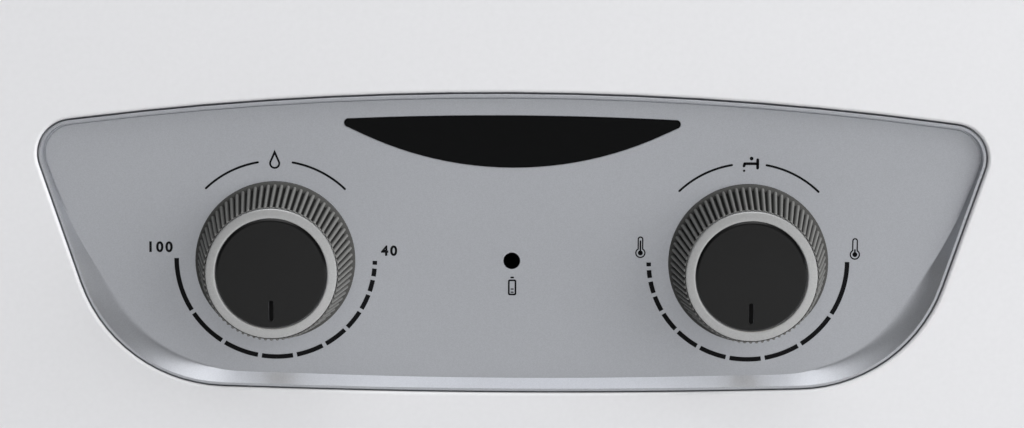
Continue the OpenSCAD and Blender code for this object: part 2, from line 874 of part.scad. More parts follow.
module control_panel() {
    steps = [for (i = [0:4]) i / 4];
    rim_pts = grown(panel_pts, -rim_w);
    layers = [for (t = steps) dish_pts + t * (rim_pts - dish_pts)];
    heights = [for (t = steps) t < 1 ? dish_depth * t * t * (3 - 2 * t) : dish_depth + eps];
    color("silver") difference() {
        union() {
            on_panel() translate([0, 0, -panel_wall]) linear_extrude(panel_wall + dish_depth)
                polygon(panel_pts);
            on_panel() translate([0, 0, -panel_wall]) linear_extrude(panel_wall + flange_top())
                polygon(grown(panel_pts, panel_flange));
        }
        on_panel() loft(layers, heights);
        for (x = [gas_x, water_x])
            on_panel(x) translate([0, 0, -through]) cylinder(r = bush_r + seat_gap, h = 2 * through);
        on_panel() translate([0, 0, -through]) cylinder(d = lamp_hole_d, h = 2 * through);
        on_panel() translate([0, 0, -badge_pocket]) linear_extrude(through)
            polygon(grown(badge_pts, seat_gap));
        for (spot = stud_spots)
            at_stud(spot) translate([0, 0, -stud_len - over])
                cylinder(d = stud_d + 2 * seat_gap, h = stud_len + 2 * over);
    }
}

// Height of the flange's front face over the panel floor, just behind the cover's sheet
function flange_top() = dish_depth + rim_recess - cover_sheet - seat_gap;

module panel_nuts() {
    nut_z = -(flange_top() + panel_wall + seat_gap) - stud_nut_h;
    color("silver") for (spot = stud_spots)
        at_stud(spot) translate([0, 0, nut_z]) difference() {
            hex(stud_d * nut_over_stud, stud_nut_h);
            translate([0, 0, -over]) cylinder(d = stud_d + seat_gap, h = stud_nut_h + 2 * over);
        }
}

module badge_plate() {
    color("black") on_panel() translate([0, 0, -badge_pocket]) linear_extrude(badge_t) polygon(badge_pts);
}

module lamp_holder() {
    color("dimgray") on_panel() translate([0, 0, -panel_wall - lamp_holder_len])
        pipe_ring(lamp_d / 2 + seat_gap, lamp_hole_d / 2 + lamp_holder_wall, lamp_holder_len);
}

module battery_lamp() {
    r = lamp_d / 2;
    color("darkred") on_panel() {
        translate([0, 0, -panel_wall - lamp_holder_len])
            cylinder(r = r, h = panel_wall + lamp_holder_len - lamp_recess - r);
        translate([0, 0, -lamp_recess - r]) intersection() {
            sphere(r = r);
            translate([-r, -r, -eps]) cube([2 * r, 2 * r, 2 * r]);
        }
    }
}

// Knobs

module knob_bush(x) {
    color("dimgray") on_panel(x) {
        translate([0, 0, -panel_wall - bush_back])
            pipe_ring(hub_r + run_gap, bush_r, panel_wall + bush_back);
        translate([0, 0, -panel_wall - bush_flange_t])
            pipe_ring(bush_r - eps, bush_flange_r, bush_flange_t);
    }
}

// Bore for a shaft with a flat
module flatted(r, flat, h) {
    intersection() {
        cylinder(r = r, h = h);
        translate([-r, -r, 0]) cube([2 * r, r + flat, h]);
    }
}

module knob_grip(x) {
    rib_z0 = knob_gap + knob_rim;
    rib_h = knob_h - ring_h - rib_z0;
    r0 = rib_base_d / 2;
    ribs = [for (i = [0:2 * rib_count - 1])
        let (a = 180 * i / rib_count, r = i % 2 == 0 ? r0 : r0 - rib_depth)
        [r * cos(a), r * sin(a)]];
    hollow_r = rib_front_d / 2 - rib_depth - knob_wall;
    color("gray") on_panel(x) difference() {
        union() {
            translate([0, 0, knob_gap]) cylinder(d = knob_base_d, h = knob_rim);
            translate([0, 0, rib_z0]) linear_extrude(rib_h, scale = rib_front_d / rib_base_d) polygon(ribs);
            translate([0, 0, -hub_back]) cylinder(r = hub_r, h = hub_back + rib_z0);
        }
        difference() {
            translate([0, 0, knob_gap - over])
                cylinder(r = hollow_r, h = rib_z0 + rib_h - knob_gap + over - 2 * knob_wall);
            translate([0, 0, knob_gap - 2 * over]) cylinder(r = hub_r, h = knob_h);
        }
        translate([0, 0, -hub_back - over])
            flatted(spindle_r + run_gap, spindle_flat + run_gap, hub_back + spindle_in_knob + 2 * over);
        translate([0, 0, clip_at - seat_gap]) pipe_ring(hub_r - clip_groove, hub_r + over, clip_w);
    }
}

module knob_ring(x) {
    bevel = 0.4;
    r_in = disc_d / 2 + seat_gap;
    r_out = ring_d / 2;
    color("silver") on_panel(x) translate([0, 0, knob_h - ring_h]) rotate_extrude()
        polygon([[r_in, 0], [r_out, 0], [r_out, ring_h - bevel], [r_out - bevel, ring_h],
            [r_in + bevel, ring_h], [r_in, ring_h - bevel]]);
}

module knob_disc(x) {
    h = ring_h - disc_recess;
    cut = 0.4;
    from_edge = 1.6;
    color("black") on_panel(x) translate([0, 0, knob_h - ring_h]) difference() {
        cylinder(d = disc_d, h = h);
        translate([-pointer_w / 2, -disc_d / 2 + from_edge, h - cut])
            cube([pointer_w, pointer_len, cut + over]);
    }
}

module knob_clip(x) {
    color("silver") on_panel(x) translate([0, 0, clip_at])
        pipe_ring(hub_r - clip_groove + seat_gap, hub_r + 2, clip_t);
}

module knob_bushes() { for (x = [gas_x, water_x]) knob_bush(x); }
module gas_knob_grip() { knob_grip(gas_x); }
module gas_knob_ring() { knob_ring(gas_x); }
module gas_knob_disc() { knob_disc(gas_x); }
module gas_knob_clip() { knob_clip(gas_x); }
module water_knob_grip() { knob_grip(water_x); }
module water_knob_ring() { knob_ring(water_x); }
module water_knob_disc() { knob_disc(water_x); }
module water_knob_clip() { knob_clip(water_x); }

// Flue

module flue_collar() {
    color("lightgray") translate([0, -flue_out, hood_z1]) {
        pipe_ring(flue_r, flue_r + hood_sheet, hood_under_top + collar_up);
        pipe_ring(flue_r + hood_sheet - eps, flue_r + collar_flange, hood_sheet);
    }
}

// Block with the chamber's rounded upright edges, smaller by inset
module chamber_block(inset, z0, z1) {
    x = chamber_w / 2 - inset;
    y0 = chamber_front + inset;
    y1 = chamber_rear - inset;
    r = chamber_corner_r - inset;
    translate([0, 0, z0]) linear_extrude(z1 - z0)
        polygon(rounded([[x, y0, r], [x, y1, r], [-x, y1, r], [-x, y0, r]]));
}

// Block from the chamber's outline to the flue's circle, smaller by inset
module hood_block(inset, stretch) {
    skirt_z = hood_z0 + hood_skirt;
    hull() {
        chamber_block(inset, skirt_z - stretch, skirt_z - stretch + 1);
        translate([0, -flue_out, hood_z1 - 1 + stretch])
            cylinder(r = flue_r + collar_flange - 1 - inset, h = 1, $fn = 32);
    }
}

module draught_hood() {
    skirt_z = hood_z0 + hood_skirt;
    color("lightgray") difference() {
        union() {
            hood_block(0, 0);
            chamber_block(0, hood_z0, skirt_z + eps);
        }
        hood_block(hood_sheet, eps);
        translate([0, -flue_out, hood_z1 - through]) cylinder(r = flue_r + seat_gap, h = 2 * through);
        chamber_block(hood_sheet, hood_z0 - over, skirt_z + 2 * eps);
        // Draught relief opening
        box(-relief_w / 2, relief_w / 2, chamber_front - over, -flue_out,
            skirt_z + relief_up, skirt_z + relief_up + relief_h);
    }
}

// Thermal switch on the chamber's front plane
module thermal_switch(x, z) {
    flange_y = chamber_front - thermal_flange_t;
    can_y = flange_y - thermal_can_h;
    w = thermal_tab_w / 2;
    t = thermal_tab_t / 2;
    color("silver") {
        along_y(x, flange_y, z) cylinder(r = thermal_flange_r, h = thermal_flange_t);
        along_y(x, can_y, z) cylinder(r = thermal_can_r, h = thermal_can_h + eps);
        for (tab = [x - thermal_tab_x, x + thermal_tab_x])
            box(tab - w, tab + w, can_y - thermal_tab_len, can_y + eps, z - t, z + t);
    }
}

// One on the hood's skirt against spilling flue gas, one on the chamber beside the fins against overheating
module thermal_switches() {
    thermal_switch(0, hood_z0 + hood_skirt / 2);
    thermal_switch(switch_shift, fin_tube_z);
}

// Heat exchanger

fin_tube_ys = [for (i = [0:3]) coil_rear_y - i * fin_tube_pitch];

module chamber_shell() {
    color("peru") difference() {
        chamber_block(0, chamber_z0, chamber_z1);
        chamber_block(chamber_sheet, chamber_z0 - over, chamber_z1 + over);
        for (y = fin_tube_ys)
            along_x(-chamber_w, y, fin_tube_z) cylinder(r = pipe_r + pipe_gap, h = 2 * chamber_w);
        for (s = [-1, 1])
            along_y(s * electrode_x, chamber_front - through, electrode_z)
                cylinder(r = electrode_r + seat_gap, h = 2 * through);
    }
}

module fin_block() {
    // The outer fins meet the flat of the front and rear walls, clear of the rounded edges
    span = chamber_w - 2 * (chamber_corner_r + near_gap) - fin_t;
    y0 = chamber_front + chamber_sheet + seat_gap;
    y1 = chamber_rear - chamber_sheet - seat_gap;
    color("peru") difference() {
        for (i = [0:fin_count - 1]) {
            x = -span / 2 + span * i / (fin_count - 1);
            box(x - fin_t / 2, x + fin_t / 2, y0, y1, fin_z0, fin_z1);
        }
        for (y = fin_tube_ys)
            along_x(-chamber_w, y, fin_tube_z) cylinder(r = pipe_r + pipe_gap, h = 2 * chamber_w);
    }
}

module fin_tube() {
    out = chamber_w / 2 + u_bend_out + fin_tube_pitch / 2;
    u_bend = fin_tube_pitch / 2 - 0.1;
    y = fin_tube_ys;
    z = fin_tube_z;
    route = [[-header_x, y[0], z], [out, y[0], z], [out, y[1], z], [-out, y[1], z], [-out, y[2], z],
        [out, y[2], z], [out, y[3], z], [-header_x - hot_join, y[3], z]];
    color("peru") {
        tube(bent(route, u_bend), pipe_r, pipe_sides);
        // Elbow block that joins the tube to the top of the coil
        box(-coil_x - header_half, -header_x + eps, y[0] - header_half, y[0] + header_half,
            z - header_half, z + header_half);
    }
}

// The pipe climbs round the chamber's sides and front, turning back at its rear corners
module exchanger_coil() {
    passes = [for (i = [0:coil_passes - 1])
        let (s = i % 2 == 0 ? 1 : -1, z = coil_z0 + i * coil_step)
        each [[s * coil_x, coil_rear_y, z], [s * coil_x, coil_front_y, z],
            [-s * coil_x, coil_front_y, z], [-s * coil_x, coil_rear_y, z]]];
    route = concat([[coil_x, coil_rear_y, coil_start_z]], passes,
        [[-coil_x, coil_rear_y, fin_tube_z - header_half]]);
    color("peru") tube(bent(route, pipe_bend), pipe_r, pipe_sides);
}

// Bracket from the back plate to a rear wall of the exchanger or the burner
module wall_bracket(x, z, front_y) {
    w = bracket_plate_w / 2;
    h = bracket_plate_h / 2;
    t = bracket_t;
    difference() {
        union() {
            box(x - w, x + w, -chassis_sheet - t, -chassis_sheet, z - h, z);
            box(x - w, x + w, front_y, -chassis_sheet, z - t / 2, z + t / 2);
            box(x - w, x + w, front_y, front_y + t, z - t / 2, z + h);
        }
        along_y(x, -through, z - bracket_screw_down)
            cylinder(d = bracket_screw_d + 2 * seat_gap, h = 2 * through);
    }
}

// One pair carries the exchanger, the other the burner
module wall_brackets() {
    color("lightgray") for (s = [-1, 1]) {
        wall_bracket(s * exchanger_bracket_x, exchanger_bracket_z, chamber_rear);
        wall_bracket(s * burner_bracket_x, burner_bracket_z, chamber_rear);
    }
}

pipe_bracket_xs = [-90, 30];
pipe_flange_h = 18;

function bracket_screw_spots() = concat(
    [for (s = [-1, 1]) [s * exchanger_bracket_x, exchanger_bracket_z - bracket_screw_down]],
    [for (s = [-1, 1]) [s * burner_bracket_x, burner_bracket_z - bracket_screw_down]],
    [for (x = pipe_bracket_xs) [x, bracket_z + pipe_flange_h / 2]]);

module bracket_screws() {
    color("silver") for (spot = bracket_screw_spots()) {
        along_y(spot[0], -chassis_sheet - bracket_t, spot[1])
            cylinder(d = bracket_screw_d, h = chassis_sheet + bracket_t - seat_gap);
        along_y(spot[0], -chassis_sheet - bracket_t - screw_head_h, spot[1])
            cylinder(d = bracket_screw_d * screw_head, h = screw_head_h);
    }
}

// Burner

bar_xs = [for (i = [0:bar_count - 1]) (i - (bar_count - 1) / 2) * bar_pitch];
bar_y0 = chamber_front + tray_sheet;
bar_y1 = chamber_rear - tray_sheet;

module burner_tray() {
    strip_ys = [bar_y0 + strip_in, bar_y1 - strip_in - strip_w];
    color("lightgray") difference() {
        union() {
            difference() {
                box(-tray_half, tray_half, chamber_front, chamber_rear, burner_z0 - strip_t, chamber_z0);
                box(-tray_half + tray_sheet, tray_half - tray_sheet, bar_y0, bar_y1,
                    burner_z0 - strip_t - over, chamber_z0 + over);
            }
            for (y = strip_ys)
                box(-tray_half, tray_half, y, y + strip_w, burner_z0 - strip_t, burner_z0);
        }
        for (x = bar_xs)
            along_y(x, chamber_front - over, injector_z) cylinder(r = throat_r, h = tray_sheet + 2 * over);
    }
}

module burner_bars() {
    r = bar_w / 2;
    bar_top = burner_z0 + burner_h;
    color("gainsboro") for (x = bar_xs) difference() {
        union() {
            box(x - r, x + r, bar_y0, bar_y1, burner_z0, bar_top - r);
            along_y(x, bar_y0, bar_top - r) cylinder(r = r - eps, h = bar_y1 - bar_y0);
        }
        along_y(x, bar_y0 - over, injector_z) cylinder(r = throat_r, h = throat_len + over);
        box(x - flame_slot_w / 2, x + flame_slot_w / 2, bar_y0 + flame_slot_in, bar_y1 - flame_slot_in,
            bar_top - flame_slot_deep, bar_top + over);
    }
}

module gas_manifold() {
    lug_x = tray_half - lug_in;
    color("goldenrod") difference() {
        union() {
            along_x(-tray_half, manifold_y, injector_z) cylinder(r = manifold_r, h = 2 * tray_half);
            translate([gas_x, manifold_y, manifold_boss_z])
                cylinder(r = manifold_boss_r, h = injector_z - manifold_boss_z);
            both_sides() box(lug_x - lug_half, lug_x + lug_half, manifold_y, chamber_front,
                injector_z + lug_t, injector_z + 2 * lug_t);
        }
        for (x = bar_xs)
            box(x - injector_d, x + injector_d, injector_y1, injector_y1 + through,
                injector_z - injector_d, injector_z + injector_d);
    }
}

module gas_injectors() {
    color("gold") for (x = bar_xs)
        along_y(x, injector_y1, injector_z) cylinder(d = injector_d, h = injector_len);
}

module spark_rod(x) {
    along_y(x, chamber_front - electrode_out, electrode_z)
        cylinder(r = electrode_r, h = electrode_out + electrode_sleeve_in);
    along_y(x, chamber_front - electrode_collar_t, electrode_z)
        cylinder(r = electrode_collar_r, h = electrode_collar_t);
    along_y(x, chamber_front, electrode_z) cylinder(r = electrode_pin_r, h = electrode_in);
}

module ignition_electrode() { color("ivory") spark_rod(electrode_x); }
module flame_sensor() { color("ivory") spark_rod(-electrode_x); }

module ignition_unit() {
    x0 = unit_x - unit_w / 2;
    x1 = unit_x + unit_w / 2;
    z0 = unit_z - unit_h / 2;
    z1 = unit_z + unit_h / 2;
    r = unit_corner_r;
    color("dimgray") translate([0, -chassis_sheet, 0]) rotate([90, 0, 0]) linear_extrude(unit_d)
        polygon(rounded([[x0, z0, r], [x1, z0, r], [x1, z1, r], [x0, z1, r]]));
}

module ignition_lead() {
    y1 = -chassis_sheet - unit_d;
    x = electrode_x;
    route = [[x, electrode_tip_y, electrode_z], [x, lead_front_y, electrode_z], [x, lead_front_y, lead_low_z],
        [x, y1, lead_low_z]];
    color("firebrick") tube(bent(route, lead_bend), lead_r, lead_sides);
}

module sensor_lead() {
    y1 = -chassis_sheet - unit_d;
    x = -electrode_x;
    x1 = unit_x - unit_w / 2 + sensor_in;
    route = [[x, electrode_tip_y, electrode_z], [x, lead_front_y, electrode_z], [x, lead_front_y, lead_low_z],
        [x, lead_turn_y, lead_low_z], [x1, lead_turn_y, lead_low_z], [x1, y1, lead_low_z]];
    color("white") tube(bent(route, lead_bend), lead_r, lead_sides);
}

// Valves

// Block with the spindle's boss in front, the connection's boss below and the outlet's boss on top
module valve_block(x) {
    w = valve_w / 2;
    box(x - w, x + w, valve_front, valve_rear, dial_z - valve_down, dial_z + valve_up);
    along_y(x, boss_y, dial_z) cylinder(r = plug_r + boss_wall, h = boss_len + eps);
    translate([x, valve_y, dial_z + valve_up - eps])
        cylinder(r = pipe_r + outlet_wall, h = outlet_boss + eps);
    translate([x, valve_y, stub_top_z]) cylinder(r = stub_r + inlet_wall, h = boss_len + eps);
}

module spindle_bore(x) {
    along_y(x, boss_y - over, dial_z) cylinder(r = plug_r + run_gap, h = plug_depth + over);
}

// Spindle with its plug in the valve and a flat at its front
module spindle(x) {
    shaft = boss_y - spindle_tip_y;
    color("goldenrod") {
        on_panel(x) translate([0, 0, floor_y - boss_y - eps]) flatted(spindle_r, spindle_flat, shaft + eps);
        along_y(x, boss_y, dial_z) cylinder(r = plug_r, h = plug_depth - near_gap);
    }
}

module gas_spindle() { spindle(gas_x); }
module water_spindle() { spindle(water_x); }

module gas_valve_body() {
    color("silver") difference() {
        union() {
            valve_block(gas_x);
            along_y(gas_x, valve_rear - eps, axis_z)
                cylinder(r = solenoid_r - solenoid_step, h = solenoid_boss + eps);
        }
        spindle_bore(gas_x);
        along_y(gas_x, seat_y, axis_z) cylinder(r = seat_bore_r, h = solenoid_y - seat_y + over);
        along_y(gas_x, seat_y - seat_hole_len, axis_z) cylinder(r = seat_hole_r, h = seat_hole_len + over);
    }
}

module gas_solenoid() {
    color("dimgray") along_y(gas_x, solenoid_y, axis_z) difference() {
        cylinder(r = solenoid_r, h = solenoid_len);
        translate([0, 0, -over]) cylinder(r = plunger_r + run_gap, h = plunger_bore + over);
    }
}

module solenoid_plunger() {
    disc_y = seat_y + near_gap;
    color("silver") {
        along_y(gas_x, disc_y, axis_z) cylinder(r = valve_disc_r, h = valve_disc_t);
        along_y(gas_x, disc_y, axis_z) cylinder(r = plunger_r, h = solenoid_y + plunger_in - disc_y);
    }
}

plunger_spring_y0 = seat_y + near_gap + valve_disc_t + spring_wire / 2 + seat_gap;
plunger_spring_y1 = solenoid_y - spring_wire / 2 - seat_gap;
plunger_helix = helix(plunger_spring_r, plunger_spring_y1 - plunger_spring_y0, plunger_spring_turns);

module plunger_spring() {
    color("silver") along_y(gas_x, plunger_spring_y0, axis_z)
        tube(plunger_helix, spring_wire / 2, spring_sides);
}

module water_valve_body() {
    color("goldenrod") difference() {
        union() {
            valve_block(water_x);
            along_x(flange_x, valve_y, axis_z) cylinder(d = diaphragm_d, h = flange_t + eps);
        }
        spindle_bore(water_x);
        along_x(flange_x - over, valve_y, axis_z) cylinder(r = dia_cavity_r, h = dia_cavity_deep + over);
        diaphragm_screw_holes();
    }
}

module at_diaphragm_screws() {
    for (i = [0:dia_screw_n - 1]) let (a = 360 * i / dia_screw_n)
        translate([0, valve_y + dia_screw_pcr * cos(a), axis_z + dia_screw_pcr * sin(a)]) children();
}

module diaphragm_screw_holes() {
    at_diaphragm_screws() along_x(dia_cover_x - over, 0, 0)
        cylinder(r = dia_screw_r + seat_gap, h = dia_screw_len + over + seat_gap);
}

module diaphragm() {
    color("black") difference() {
        along_x(diaphragm_x, valve_y, axis_z) cylinder(d = diaphragm_d, h = diaphragm_t);
        diaphragm_screw_holes();
    }
}

module diaphragm_cover() {
    color("goldenrod") difference() {
        union() {
            along_x(dia_cover_x, valve_y, axis_z) cylinder(d = diaphragm_d, h = diaphragm_cover_t);
            along_x(dia_cover_x - gland_len, valve_y, axis_z) cylinder(r = gland_r, h = gland_len + eps);
        }
        along_x(dia_cover_x + dia_wall, valve_y, axis_z) cylinder(r = dia_cavity_r, h = diaphragm_cover_t);
        along_x(dia_cover_x - gland_len - over, valve_y, axis_z)
            cylinder(r = rod_r + run_gap, h = gland_len + dia_wall + 2 * over);
        diaphragm_screw_holes();
    }
}

module diaphragm_screws() {
    color("silver") at_diaphragm_screws() {
        along_x(dia_cover_x, 0, 0) cylinder(r = dia_screw_r, h = dia_screw_len);
        along_x(dia_cover_x - screw_head_h, 0, 0) cylinder(r = dia_screw_r * screw_head, h = screw_head_h);
    }
}

dia_spring_x0 = dia_cover_x + dia_wall + spring_wire / 2 + seat_gap;
dia_spring_x1 = plate_x - spring_wire / 2 - seat_gap;
dia_helix = helix(dia_spring_r, dia_spring_x1 - dia_spring_x0, dia_spring_turns);

module diaphragm_spring() {
    color("silver") along_x(dia_spring_x0, valve_y, axis_z)
        tube(dia_helix, spring_wire / 2, spring_sides);
}

echo(spring_gaps = [coil_gap(plunger_helix, spring_wire), coil_gap(dia_helix, spring_wire)]);

module push_rod() {
    color("silver") {
        along_x(rod_tip, valve_y, axis_z) cylinder(r = rod_r, h = plate_x - rod_tip + eps);
        along_x(plate_x, valve_y, axis_z) cylinder(r = plate_r, h = plate_t);
    }
}

module switch_bracket() {
    z0 = axis_z - switch_down;
    y0 = valve_y - switch_half;
    y1 = valve_y + switch_half;
    color("lightgray") {
        box(switch_x - switch_len, dia_cover_x, y0, y1, z0 - bracket_t, z0);
        box(dia_cover_x - bracket_t, dia_cover_x, y0, y1, z0 - tab_down, z0);
    }
}

module microswitch() {
    color("black") difference() {
        box(switch_x - switch_len, switch_x, valve_y - switch_half, valve_y + switch_half,
            axis_z - switch_down, axis_z + switch_up);
        along_x(switch_x - button_in - rod_travel - over, valve_y, axis_z)
            cylinder(r = button_r + run_gap, h = button_in + rod_travel + 2 * over);
    }
}

module switch_button() {
    color("red") along_x(switch_x - button_in, valve_y, axis_z)
        cylinder(r = button_r, h = button_in + button_out);
}

// Connections

stub_xs = [-hot_x, gas_x, water_x];

module pipe(route) {
    color("peru") tube(bent(route, pipe_bend), pipe_r, pipe_sides);
}

module hot_pipe() {
    x = -hot_x;
    y = fin_tube_ys[3];
    pipe([[-header_x - hot_join, y, fin_tube_z], [x, y, fin_tube_z], [x, y, pipe_level_z],
        [x, valve_y, pipe_level_z - hot_drop], [x, valve_y, stub_top_z]]);
}

module cold_pipe() {
    pipe([[water_x, valve_y, pipe_start_z], [water_x, valve_y, pipe_level_z], [coil_x, valve_y, pipe_level_z],
        [coil_x, coil_rear_y, pipe_level_z], [coil_x, coil_rear_y, coil_start_z]]);
}

module gas_pipe() {
    pipe([[gas_x, valve_y, pipe_start_z], [gas_x, valve_y, pipe_level_z], [gas_x, manifold_y, pipe_level_z],
        [gas_x, manifold_y, manifold_boss_z]]);
}

module pipe_bracket() {
    x0 = -chassis_half + chassis_sheet + near_gap;
    x1 = water_x + pipe_bracket_over;
    y0 = valve_y - pipe_bracket_over;
    color("lightgray") difference() {
        union() {
            box(x0, x1, y0, -chassis_sheet, bracket_z, bracket_z + pipe_bracket_t);
            box(x0, x1, -chassis_sheet - bracket_t, -chassis_sheet, bracket_z, bracket_z + pipe_flange_h);
        }
        for (x = stub_xs)
            translate([x, valve_y, bracket_z - through]) cylinder(r = neck_r + seat_gap, h = 2 * through);
        for (x = pipe_bracket_xs)
            along_y(x, -through, bracket_z + pipe_flange_h / 2)
                cylinder(d = bracket_screw_d + 2 * seat_gap, h = 2 * through);
    }
}

module pipe_stub(x) {
    seat = bracket_z + pipe_bracket_t;
    translate([x, valve_y, 0]) difference() {
        union() {
            translate([0, 0, thread_z]) cylinder(d = thread_d, h = thread_len);
            translate([0, 0, thread_z]) cylinder(r = neck_r, h = seat - thread_z + eps);
            translate([0, 0, seat]) hex(nut_d, collar_h);
            translate([0, 0, seat]) cylinder(r = stub_r, h = stub_top_z - seat);
        }
        translate([0, 0, thread_z - over])
            cylinder(d = stub_bore_d, h = stub_top_z - thread_z - stub_end + over);
    }
}

module pipe_stubs() {
    color("goldenrod") for (x = stub_xs) pipe_stub(x);
}

module union_nuts() {
    color("goldenrod") {
        for (x = stub_xs) translate([x, valve_y, bracket_z - nut_h]) difference() {
            hex(nut_d, nut_h);
            translate([0, 0, -over]) cylinder(r = neck_r + seat_gap, h = nut_h + 2 * over);
        }
        for (place = [[-hot_x, stub_top_z], [gas_x, pipe_start_z], [water_x, pipe_start_z]])
            translate([place[0], valve_y, place[1]]) difference() {
                hex(nut_d - small_nut_less, nut_h);
                translate([0, 0, -over]) cylinder(r = pipe_r + pipe_gap, h = nut_h + 2 * over);
            }
    }
}

// Battery

// Square post round the battery's axis
module post(half, z0, z1) {
    box(box_x - half, box_x + half, box_y - half, box_y + half, z0, z1);
}

module battery_box() {
    color("black") difference() {
        post(box_half, box_z0, box_top);
        post(box_in, box_z0 - over, box_top - box_roof);
    }
}

module battery_drawer() {
    grip = 9;
    grip_deep = 3;
    color("dimgray") difference() {
        union() {
            post(box_half, bot_z, cell_z);
            post(drawer_half, cell_z - eps, cell_z + cell_len - cell_shows);
        }
        translate([box_x, box_y, cell_z]) cylinder(d = cell_d + 4 * seat_gap, h = cell_len);
        // Finger notch in the floor's front edge
        box(box_x - grip, box_x + grip, box_y - box_half - over, box_y - box_half + grip_deep,
            bot_z - over, bot_z + drawer_floor / 2);
    }
}

module battery_cell() {
    color("goldenrod") translate([box_x, box_y, cell_z]) {
        cylinder(d = cell_d, h = cell_len - cell_cap);
        cylinder(d = cell_cap_d, h = cell_len);
    }
}

// Bent strip under the roof of the box that meets the battery's cap
module battery_contact() {
    low = cell_z + cell_len + near_gap;
    high = box_top - box_roof;
    w = contact_w;
    color("silver") {
        post(w, high - contact_t, high);
        post(w, low, low + contact_t);
        box(box_x - w, box_x - w + contact_t, box_y - w, box_y + w, low, high);
    }
}

front_cover();
control_panel();
panel_nuts();
badge_plate();
lamp_holder();
battery_lamp();
knob_bushes();
gas_knob_grip();
gas_knob_ring();
gas_knob_disc();
gas_knob_clip();
water_knob_grip();
water_knob_ring();
water_knob_disc();
water_knob_clip();
back_plate();
cover_screws();
wall_brackets();
bracket_screws();
flue_collar();
draught_hood();
thermal_switches();
chamber_shell();
fin_block();
fin_tube();
exchanger_coil();
burner_tray();
burner_bars();
gas_manifold();
gas_injectors();
ignition_electrode();
flame_sensor();
ignition_unit();
ignition_lead();
sensor_lead();
gas_valve_body();
gas_solenoid();
solenoid_plunger();
plunger_spring();
gas_spindle();
water_valve_body();
diaphragm();
diaphragm_cover();
diaphragm_screws();
diaphragm_spring();
push_rod();
water_spindle();
switch_bracket();
microswitch();
switch_button();
hot_pipe();
cold_pipe();
gas_pipe();
pipe_bracket();
pipe_stubs();
union_nuts();
battery_box();
battery_drawer();
battery_cell();
battery_contact();
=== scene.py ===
"""Visible pieces, materials, light and camera of a gas water heater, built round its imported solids."""
import json
import math
from collections import namedtuple

import bmesh
import bpy
from bpy.props import FloatProperty, FloatVectorProperty, IntProperty, PointerProperty
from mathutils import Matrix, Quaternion, Vector
from mathutils.geometry import intersect_line_line_2d
from mathutils.kdtree import KDTree


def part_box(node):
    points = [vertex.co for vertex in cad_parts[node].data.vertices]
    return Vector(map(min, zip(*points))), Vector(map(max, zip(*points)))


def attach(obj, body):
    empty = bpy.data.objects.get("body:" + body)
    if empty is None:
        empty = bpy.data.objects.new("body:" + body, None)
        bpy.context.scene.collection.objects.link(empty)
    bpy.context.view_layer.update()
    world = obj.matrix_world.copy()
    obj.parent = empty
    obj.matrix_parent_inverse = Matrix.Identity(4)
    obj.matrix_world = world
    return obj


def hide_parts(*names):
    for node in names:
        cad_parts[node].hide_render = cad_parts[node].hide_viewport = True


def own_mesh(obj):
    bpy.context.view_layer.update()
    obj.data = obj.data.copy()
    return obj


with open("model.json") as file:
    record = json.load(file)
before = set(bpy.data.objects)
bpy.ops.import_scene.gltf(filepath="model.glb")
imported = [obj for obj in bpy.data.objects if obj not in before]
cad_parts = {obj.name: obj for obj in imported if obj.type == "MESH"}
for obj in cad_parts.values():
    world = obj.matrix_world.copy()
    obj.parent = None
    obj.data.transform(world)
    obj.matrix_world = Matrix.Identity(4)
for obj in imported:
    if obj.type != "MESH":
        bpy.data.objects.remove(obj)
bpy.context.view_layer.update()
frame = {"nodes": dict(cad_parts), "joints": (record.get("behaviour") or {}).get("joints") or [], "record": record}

bl_info = {
    "name": "Gas Water Heater",
    "version": (1, 0, 0),
    "blender": (4, 5, 0),
    "location": "View3D > Sidebar > Heater",
    "description": "Builds the visible pieces of a wall-hung gas water heater round its packed solids",
    "category": "Object",
}

# Lengths below are in millimetres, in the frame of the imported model
MM = 0.001
JOINTS = {joint["name"]: joint for joint in frame["joints"]}
SLOT_OF = {part["node"]: part["material_slot"] for part in frame["record"]["subparts"]}
COLOUR_OF = {entry["slot"]: entry["base_color"] for entry in frame["record"]["materials"]}
BODY_OF = {node: body for body, nodes in frame["record"]["behaviour"]["bodies"].items() for node in nodes}


def node_box(node):
    """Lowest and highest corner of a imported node, in millimetres."""
    low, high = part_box(node)
    return low / MM, high / MM


GAS_X, FLOOR_Y, DIAL_Z = [value / MM for value in JOINTS["gas_knob_turn"]["pos_m"]]
WATER_X = JOINTS["water_knob_turn"]["pos_m"][0] / MM
COVER_LOW, COVER_HIGH = node_box("front_cover")
SHEET = 1.0
EDGE_R = 26.0
END_R = 14.0
BOTTOM_RETURN = 16.0
COLLAR_Y = -95.0
SLOT_HALF = 59.5
SLOT_R = 0.65 * SLOT_HALF
NOTCH_UP = 70.0
NOTCH_R = 2.3
NOTCH_SPAN = (-12.0, 6.0)

# How far the shapes that cut reach past what they cut
PAST = 1.0
PAST_BOTTOM = 2.0
PAST_SIDE = 3.0
PAST_WALL = 4.0
PAST_TOP = 10.0

